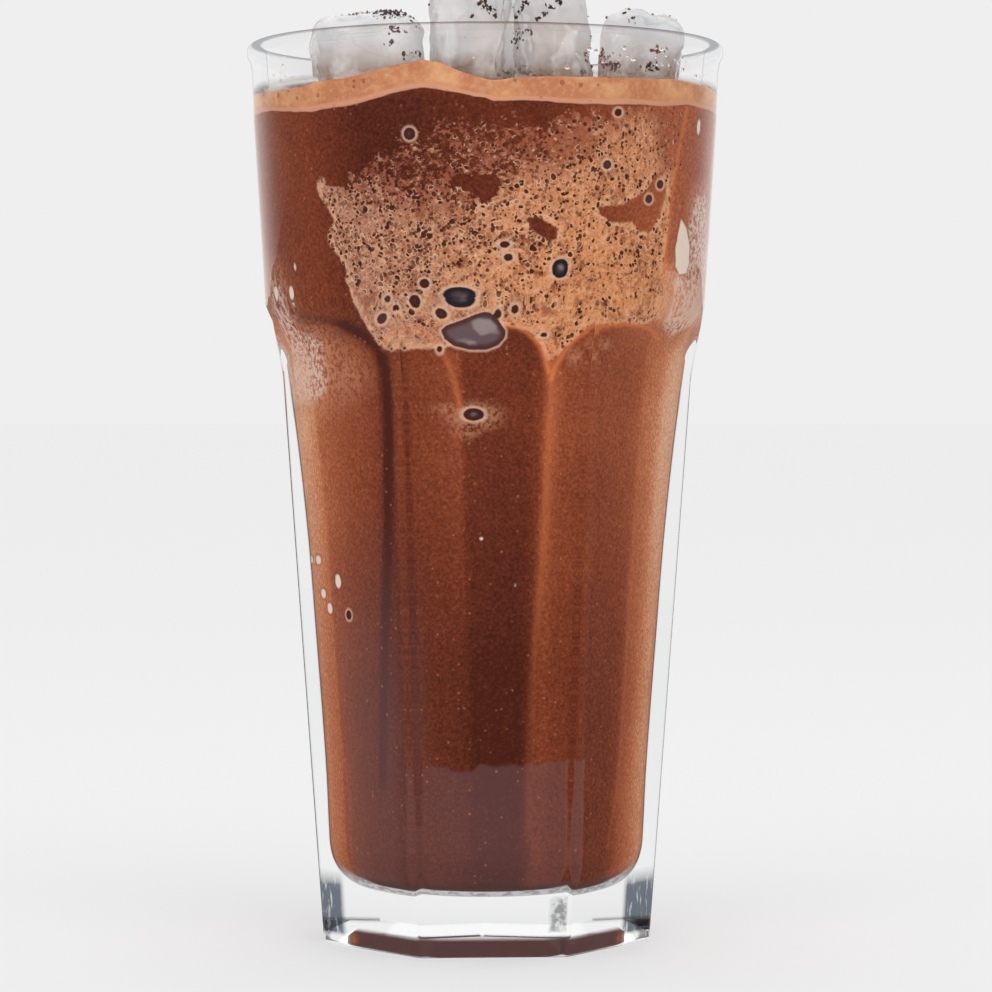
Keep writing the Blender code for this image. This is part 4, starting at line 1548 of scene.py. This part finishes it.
@dataclass
class IceCube:
    """One melted ice cube."""

    node: str
    centre: Point
    half: Point
    turn: Point
    seed: int
    rounding: float = 0.56
    uneven: float = 1.1
    cells: int = 34

    def build(self, mat: bpy.types.Material, level: FrothLevel) -> bpy.types.Object:
        """Builds the cube as one closed skin.

        Args:
            mat: the ice's material.
            level: the froth's level, a little above which the painted brown tint of the froth seen
                through the cube fades out.

        Returns:
            The finished piece.
        """
        work = bmesh.new()
        bmesh.ops.create_cube(work, size=2.0)
        bmesh.ops.subdivide_edges(work, edges=work.edges, cuts=self.cells, use_grid_fill=True)
        spin = Euler([math.radians(a) for a in self.turn]).to_matrix()
        rounding = min(self.half) * self.rounding
        for vert in work.verts:
            full = Vector([p * h for p, h in zip(vert.co, self.half)])
            core = Vector([max(-(h - rounding), min(h - rounding, f))
                           for f, h in zip(full, self.half)])
            away = (full - core).normalized()
            place = core + away * rounding
            wave = noise.noise(place * 0.11 + Vector((self.seed * 7.3, self.seed * 1.7, 0.0)))
            fine = noise.noise(place * 0.42 + Vector((self.seed, 0.0, 4.0)))
            melt = noise.noise(place * 0.2 + Vector((0.0, self.seed * 3.1, 9.0)))
            place += away * (wave * self.uneven + fine * 0.3 - 1.3 * max(0.0, melt))
            vert.co = (spin @ place + Vector(self.centre)) * MM
        mesh = bpy.data.meshes.new(self.node)
        work.to_mesh(mesh)
        work.free()
        obj = finish_mesh("melting_" + self.node, mesh)
        places = points_of(obj)
        # Painted refraction of the froth, strongest low on the cube.
        froth_seen_through = ease(places[:, 2], level.level + 9.5, level.level + 4.0)
        store_values(obj, "froth_seen_through", froth_seen_through)
        obj.data.materials.append(mat)
        place_piece(obj, (self.node,))
        return obj


ICE_CUBES = (
    IceCube("ice_cube_left", (-21.8, 13.4, 163.0), (10.0, 10.2, 9.5), (4, -7, 12), 11),
    IceCube("ice_cube_middle", (-3.3, 5.2, 166.6), (7.0, 8.8, 11.6), (-5, 3, -4), 12),
    IceCube("ice_cube_tall", (12.3, 7.6, 167.6), (6.3, 8.2, 11.8), (6, -3, 7), 13),
    IceCube("ice_cube_right", (28.4, 1.6, 161.2), (7.4, 10.4, 9.6), (-3, 9, -6), 14),
    IceCube("ice_cube_back", (4.6, 25.6, 166.4), (9.0, 8.0, 11.8), (8, 5, 14), 15),
)


# The grated chocolate and the drops, scattered by geometry nodes


def scatter_tree(name: str, squash: float) -> bpy.types.NodeTree:
    """Makes a geometry tree that sets a small uneven grain on each point.

    Args:
        name: the tree's name.
        squash: how flat a grain is, 1 for a round one.

    Returns:
        The tree. Its inputs are Geometry, Grain size, Seed and Finish.
    """
    tree = bpy.data.node_groups.new(name, "GeometryNodeTree")
    for label, way, kind in (("Geometry", "INPUT", "Geometry"), ("Grain size", "INPUT", "Float"),
                             ("Seed", "INPUT", "Int"), ("Finish", "INPUT", "Material"),
                             ("Geometry", "OUTPUT", "Geometry")):
        tree.interface.new_socket(label, in_out=way, socket_type="NodeSocket" + kind)
    nodes, link = tree.nodes, tree.links.new
    entry, leave = nodes.new("NodeGroupInput"), nodes.new("NodeGroupOutput")
    grain = nodes.new("GeometryNodeMeshIcoSphere")
    grain.inputs["Subdivisions"].default_value = 2 if squash == 1.0 else 1
    link(entry.outputs["Grain size"], grain.inputs["Radius"])
    spin = nodes.new("FunctionNodeRandomValue")
    spin.data_type = "FLOAT_VECTOR"
    spin.inputs[1].default_value = (6.28, 6.28, 6.28)
    link(entry.outputs["Seed"], spin.inputs["Seed"])
    stretch = nodes.new("FunctionNodeRandomValue")
    stretch.data_type = "FLOAT_VECTOR"
    low = (0.55, 0.45, 0.4 * squash) if squash < 1.0 else (0.9, 0.9, 0.9)
    high = (1.5, 1.1, 1.0 * squash) if squash < 1.0 else (1.05, 1.05, 1.05)
    stretch.inputs[0].default_value = low
    stretch.inputs[1].default_value = high
    link(entry.outputs["Seed"], stretch.inputs["Seed"])
    size = nodes.new("GeometryNodeInputNamedAttribute")
    size.data_type = "FLOAT"
    size.inputs["Name"].default_value = "grain"
    scale = nodes.new("ShaderNodeVectorMath")
    scale.operation = "SCALE"
    link(stretch.outputs[0], scale.inputs[0])
    link(size.outputs["Attribute"], scale.inputs["Scale"])
    each = nodes.new("GeometryNodeInstanceOnPoints")
    link(entry.outputs["Geometry"], each.inputs["Points"])
    link(grain.outputs["Mesh"], each.inputs["Instance"])
    link(spin.outputs[0], each.inputs["Rotation"])
    link(scale.outputs["Vector"], each.inputs["Scale"])
    real = nodes.new("GeometryNodeRealizeInstances")
    link(each.outputs["Instances"], real.inputs["Geometry"])
    dress = nodes.new("GeometryNodeSetMaterial")
    link(real.outputs["Geometry"], dress.inputs["Geometry"])
    link(entry.outputs["Finish"], dress.inputs["Material"])
    link(dress.outputs["Geometry"], leave.inputs[0])
    return tree


def scatter(name: str, points: Sequence[tuple[Point, float, float]], tree: bpy.types.NodeTree,
            size: float, seed: int, mat: bpy.types.Material) -> bpy.types.Object:
    """Runs a scatter tree on points and keeps the result as a plain mesh.

    Args:
        name: the piece's name.
        points: each grain's place in millimetres, its size share and its tint.
        tree: the scatter tree.
        size: the radius of a grain of size 1, in millimetres.
        seed: the seed of the turns and stretches.
        mat: the finish.

    Returns:
        The new object, at the origin.
    """
    cloud = bpy.data.meshes.new(name + "_points")
    cloud.from_pydata([[c * MM for c in place] for place, _, _ in points], [], [])
    holder = bpy.data.objects.new(name + "_points", cloud)
    bpy.context.scene.collection.objects.link(holder)
    store_values(holder, "grain", np.array([share for _, share, _ in points]))
    store_values(holder, "tint", np.array([tint for _, _, tint in points]))
    modifier = holder.modifiers.new("scatter", "NODES")
    modifier.node_group = tree
    sockets = {item.name: item.identifier for item in tree.interface.items_tree
               if item.in_out == "INPUT"}
    modifier[sockets["Grain size"]] = size * MM
    modifier[sockets["Seed"]] = seed
    modifier[sockets["Finish"]] = mat
    graph = bpy.context.evaluated_depsgraph_get()
    mesh = bpy.data.meshes.new_from_object(holder.evaluated_get(graph), depsgraph=graph)
    bpy.data.objects.remove(holder)
    mesh.name = name
    obj = bpy.data.objects.new(name, mesh)
    bpy.context.scene.collection.objects.link(obj)
    return obj


@dataclass(frozen=True)
class FleckFinish:
    """Grated chocolate, dark or reddish where it has begun to melt."""

    dark: tuple[Colour, Colour] = (rgb(40, 18, 14), rgb(78, 38, 26))
    reddish: tuple[Colour, Colour] = (rgb(94, 34, 24), rgb(148, 72, 52))

    def make(self, name: str) -> bpy.types.Material:
        """Makes the material.

        Args:
            name: the material's name.

        Returns:
            The flecks' material.
        """
        mat, graph, shader = new_material(name, {"Roughness": 0.45})
        uneven = graph.noise(graph.place(), 1800.0, 2.0)
        dark, red = (graph.lay(low, high, uneven, 0.35, 0.65)
                     for low, high in (self.dark, self.reddish))
        graph.feed(shader.inputs["Base Color"], graph.mix(graph.value_of("tint"), dark, red))
        return mat


@dataclass(frozen=True)
class FleckCluster:
    """Flecks that fell close together, given where the picture shows them."""

    across: float
    down: float
    spread_across: float
    spread_down: float
    count: int
    kind: FleckKind = FleckKind.DARK


@dataclass
class GratedChocolate:
    """Grated chocolate on the ice and the froth."""

    studio: "Studio"
    grain: float = 0.46
    seed: int = 41
    clusters: tuple[FleckCluster, ...] = tuple(FleckCluster(*row) for row in (
        (400, 6, 15, 8, 46), (392, 12, 13, 5, 22), (370, 9, 3, 2, 3), (377, 12, 3, 2, 4),
        (384, 14, 3, 2, 4), (391, 17, 3, 2, 4), (395, 30, 9, 3, 13), (390, 43, 4, 3, 4),
        (402, 7, 7, 5, 14, FleckKind.REDDISH), (480, 2, 3, 3, 5), (485, 6, 3, 3, 6),
        (490, 11, 3, 3, 6), (496, 16, 3, 3, 4), (526, 2, 3, 3, 5), (523, 7, 3, 3, 6),
        (519, 12, 3, 3, 5), (516, 17, 3, 2, 4), (558, 2, 4, 3, 7), (551, 7, 4, 3, 7),
        (544, 13, 3, 3, 6), (539, 18, 3, 2, 4), (518, 37, 5, 8, 13), (529, 30, 4, 3, 4),
        (597, 8, 4, 2, 4), (595, 18, 5, 2, 7), (594, 38, 4, 6, 10),
        (600, 58, 12, 8, 40, FleckKind.REDDISH), (615, 66, 8, 5, 18), (583, 73, 4, 2, 4),
        (632, 20, 4, 3, 4), (660, 50, 7, 3, 9, FleckKind.REDDISH), (655, 68, 9, 5, 8),
        (445, 73, 12, 4, 14, FleckKind.REDDISH), (526, 70, 14, 7, 14, FleckKind.REDDISH),
        (412, 55, 12, 5, 6), (510, 74, 16, 4, 10)))
    on_top: tuple[tuple[float, float, int], ...] = (
        (-21, 12, 34), (-14, 9, 20), (-3, 3, 34), (1, 6, 16), (12, 7, 30), (15, 4, 14),
        (28, 0, 26), (26, 5, 14), (4, 25, 30), (20, -14, 10), (-24, -8, 8), (-8, -24, 5),
        (24, 22, 9), (-16, 28, 8))

    def picture_place(self, across: float, down: float) -> tuple[Vector, Vector]:
        """Start and direction of the line that reaches a place of the picture.

        Args:
            across: pixels from the left.
            down: pixels from the top.

        Returns:
            The start in millimetres and the direction.
        """
        studio = self.studio
        eye = Vector((0.0, -studio.distance / MM, studio.eye_height))
        spot = Vector(((across - studio.axis_across) / studio.pixels_per_mm, 0.0,
                       studio.eye_height + (studio.horizon - down) / studio.pixels_per_mm))
        return eye, (spot - eye).normalized()

    def grains(self, carriers: Sequence[bpy.types.Object]) -> list[tuple[Point, float, float]]:
        """Finds a place on the ice or the froth for every fleck.

        Args:
            carriers: the pieces that flecks may lie on.

        Returns:
            Place, size share and tint of each fleck.
        """
        trees = []
        for obj in carriers:
            verts = [vert.co / MM for vert in obj.data.vertices]
            faces = [tuple(face.vertices) for face in obj.data.polygons]
            trees.append(BVHTree.FromPolygons(verts, faces))
        chance = np.random.default_rng(self.seed)

        def nearest(start: Vector, way: Vector) -> Optional[Vector]:
            """First place that a line meets."""
            hits = [tree.ray_cast(start, way) for tree in trees]
            found = [(hit[3], hit[0]) for hit in hits if hit[0] is not None]
            return min(found, key=lambda item: item[0])[1] if found else None

        out: list[tuple[Point, float, float]] = []
        for group in self.clusters:
            for _ in range(2 * group.count):
                across = group.across + float(chance.normal()) * group.spread_across * 0.55
                down = group.down + float(chance.normal()) * group.spread_down * 0.55
                hit = nearest(*self.picture_place(across, down))
                share = 0.3 + 0.8 * float(chance.random()) ** 1.6
                if hit is not None and math.hypot(hit.x, hit.y) < 38.5:
                    out.append(((hit.x, hit.y, hit.z), share, group.kind.value))
        for x, y, count in self.on_top:
            for _ in range(2 * count):
                px, py = x + 3.6 * float(chance.normal()), y + 3.0 * float(chance.normal())
                if math.hypot(px, py) > 37.5:
                    continue
                hit = nearest(Vector((px, py, 220.0)), Vector((0, 0, -1)))
                share = 0.35 + 0.85 * float(chance.random()) ** 1.6
                if hit is not None:
                    out.append(((hit.x, hit.y, hit.z), share, float(chance.random() < 0.2)))
        return out

    def build(self, carriers: Sequence[bpy.types.Object]) -> bpy.types.Object:
        """Builds all flecks as one piece.

        Args:
            carriers: the pieces that flecks may lie on.

        Returns:
            The finished piece.
        """
        tree = scatter_tree("chocolate_fleck_scatter", 0.6)
        obj = scatter("grated_chocolate", self.grains(carriers), tree, self.grain, 7,
                      FleckFinish().make("grated_chocolate"))
        place_piece(obj)
        return obj


@dataclass(frozen=True)
class WaterFinish:
    """Clear water in small drops."""

    def make(self, name: str) -> bpy.types.Material:
        """Makes the material.

        Args:
            name: the material's name.

        Returns:
            The drops' material.
        """
        mat, graph, shader = new_material(name, {
            "Base Color": (0.97, 0.98, 0.98, 1.0), "IOR": 1.33, "Transmission Weight": 1.0})
        graph.feed(shader.inputs["Roughness"], graph.band(
            graph.noise(graph.place(), 900.0, 2.0), 0.3, 0.8, 0.02, 0.08))
        return mat


@dataclass
class WallDrops:
    """Small drops that cling to the inside of the wall above the froth."""

    glass: FacetedGlass
    level: FrothLevel
    size: float = 0.42
    seed: int = 23
    zones: tuple[tuple[float, float, float, float, int], ...] = (
        (52.0, 10.0, 160.0, 1.4, 22), (28.0, 8.0, 160.4, 1.1, 10), (-60.0, 9.0, 159.0, 1.2, 7),
        (140.0, 40.0, 159.5, 1.3, 18), (-150.0, 30.0, 159.5, 1.3, 12))

    def build(self) -> bpy.types.Object:
        """Builds the drops as one piece.

        Returns:
            The finished piece.
        """
        chance = np.random.default_rng(self.seed)
        points: list[tuple[Point, float, float]] = []
        for middle, spread, height, rise, count in self.zones:
            for _ in range(count):
                angle = math.radians(middle + spread * float(chance.normal()))
                z = height + rise * float(chance.normal())
                x, y = math.sin(angle), -math.cos(angle)
                share = 0.35 + 0.75 * float(chance.random()) ** 2
                low = self.level.top(FROTH_RADIUS * x, FROTH_RADIUS * y) + 1.0
                z = min(max(z, low), 161.9)
                radius = self.glass.inside_radius(z) + 0.06
                points.append(((radius * x, radius * y, z), share, 0.0))
        tree = scatter_tree("wall_drop_scatter", 1.0)
        obj = scatter("wall_drops", points, tree, self.size, 3, WaterFinish().make("water"))
        obj.data.polygons.foreach_set("use_smooth", [True] * len(obj.data.polygons))
        place_piece(obj)
        return obj


# The studio


@dataclass
class Studio:
    """A pale floor, soft light and the camera at the photograph's angle."""

    distance: float = 0.69
    eye_height: float = 96.6
    horizon: float = 415.0
    axis_across: float = 485.1
    pixels_per_mm: float = 5.4
    picture: int = 992
    key_power: float = 3.0
    fill_power: float = 2.0

    def camera(self) -> None:
        """Sets up the camera, level with the middle of the glass and close to it."""
        data = bpy.data.cameras.new("camera")
        obj = bpy.data.objects.new("camera", data)
        bpy.context.scene.collection.objects.link(obj)
        obj.location = (0.0, -self.distance, self.eye_height * MM)
        obj.rotation_euler = (math.pi / 2, 0.0, 0.0)
        data.sensor_width = 36.0
        data.lens = self.pixels_per_mm * self.distance / MM / self.picture * 36.0
        data.shift_x = (self.picture / 2 - self.axis_across) / self.picture
        data.shift_y = -(self.picture / 2 - self.horizon) / self.picture
        data.clip_start = 0.05
        bpy.context.scene.camera = obj

    def world(self) -> None:
        """An even pale surround, darker far to the sides."""
        world = bpy.data.worlds.new("surround")
        bpy.context.scene.world = world
        world.use_nodes = True
        graph = Graph(world.node_tree)
        parts = graph.parts(graph.add("TexCoord").outputs["Generated"])
        side = graph.math("ABSOLUTE", parts["X"])
        shade = graph.band(side, 0.5, 0.95, 1.0, 0.24)
        level = graph.band(parts["Z"], 0.2, 0.6, 0.862, 1.2)
        graph.feed(world.node_tree.nodes["Background"].inputs[0], (1.0, 1.0, 1.0))
        graph.feed(world.node_tree.nodes["Background"].inputs[1],
                   graph.times(shade, level))

    def light(self, name: str, where: Point, size: float, power: float) -> None:
        """One soft area light aimed at the glass.

        Args:
            name: the light's name.
            where: its place in metres.
            size: the side of its square.
            power: its power in watts.
        """
        data = bpy.data.lights.new(name, "AREA")
        data.size = size
        data.energy = power
        obj = bpy.data.objects.new(name, data)
        bpy.context.scene.collection.objects.link(obj)
        obj.location = where
        aim = Vector((0.0, 0.0, 0.08)) - obj.location
        obj.rotation_euler = aim.to_track_quat("-Z", "Y").to_euler()

    def floor(self) -> None:
        """The floor that the glass stands on."""
        work = bmesh.new()
        bmesh.ops.create_grid(work, x_segments=1, y_segments=1, size=40.0)
        mesh = bpy.data.meshes.new("floor")
        work.to_mesh(mesh)
        work.free()
        mesh.transform(Matrix.Translation((0.0, 0.0, -0.0002)))
        obj = bpy.data.objects.new("floor", mesh)
        bpy.context.scene.collection.objects.link(obj)
        mat, graph, shader = new_material("pale_floor", {
            "Emission Strength": 1.0, "Specular IOR Level": 0.0, "Roughness": 0.9})
        path = graph.add("LightPath")
        bounced = graph.times(path.outputs["Is Glossy Ray"],
                             graph.math("SUBTRACT", 1.0, path.outputs["Is Transmission Ray"]))
        graph.feed(shader.inputs["Base Color"],
                   graph.mix(bounced, (0.49, 0.49, 0.493), (0.1, 0.1, 0.1)))
        graph.feed(shader.inputs["Emission Color"],
                   graph.mix(bounced, (0.35, 0.35, 0.35), (0.08, 0.08, 0.08)))
        mesh.materials.append(mat)

    def build(self) -> None:
        """Sets the whole studio."""
        self.camera()
        self.world()
        self.floor()
        self.light("key_light", (0.8, -0.9, 1.2), 1.1, self.key_power)
        self.light("fill_light", (-0.8, -0.9, 0.5), 0.7, self.fill_power)
        bpy.context.scene.view_settings.view_transform = "Standard"
        log.info("studio: camera %.2f m away", self.distance)


def main() -> None:
    """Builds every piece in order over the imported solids."""
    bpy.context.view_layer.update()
    holes = bubble_hole_group()
    tones = drink_tone_group()
    level = FrothLevel()
    glass = FacetedGlass()
    glass.build()
    ChocolateDrink(glass, level).build(holes, tones)
    carriers = [Froth(glass, level).build(holes, tones)]
    ice = IceFinish().make("wet_ice")
    carriers += [cube.build(ice, level) for cube in ICE_CUBES]
    studio = Studio()
    GratedChocolate(studio).build(carriers)
    WallDrops(glass, level).build()
    studio.build()


if __name__ == "__main__":
    main()
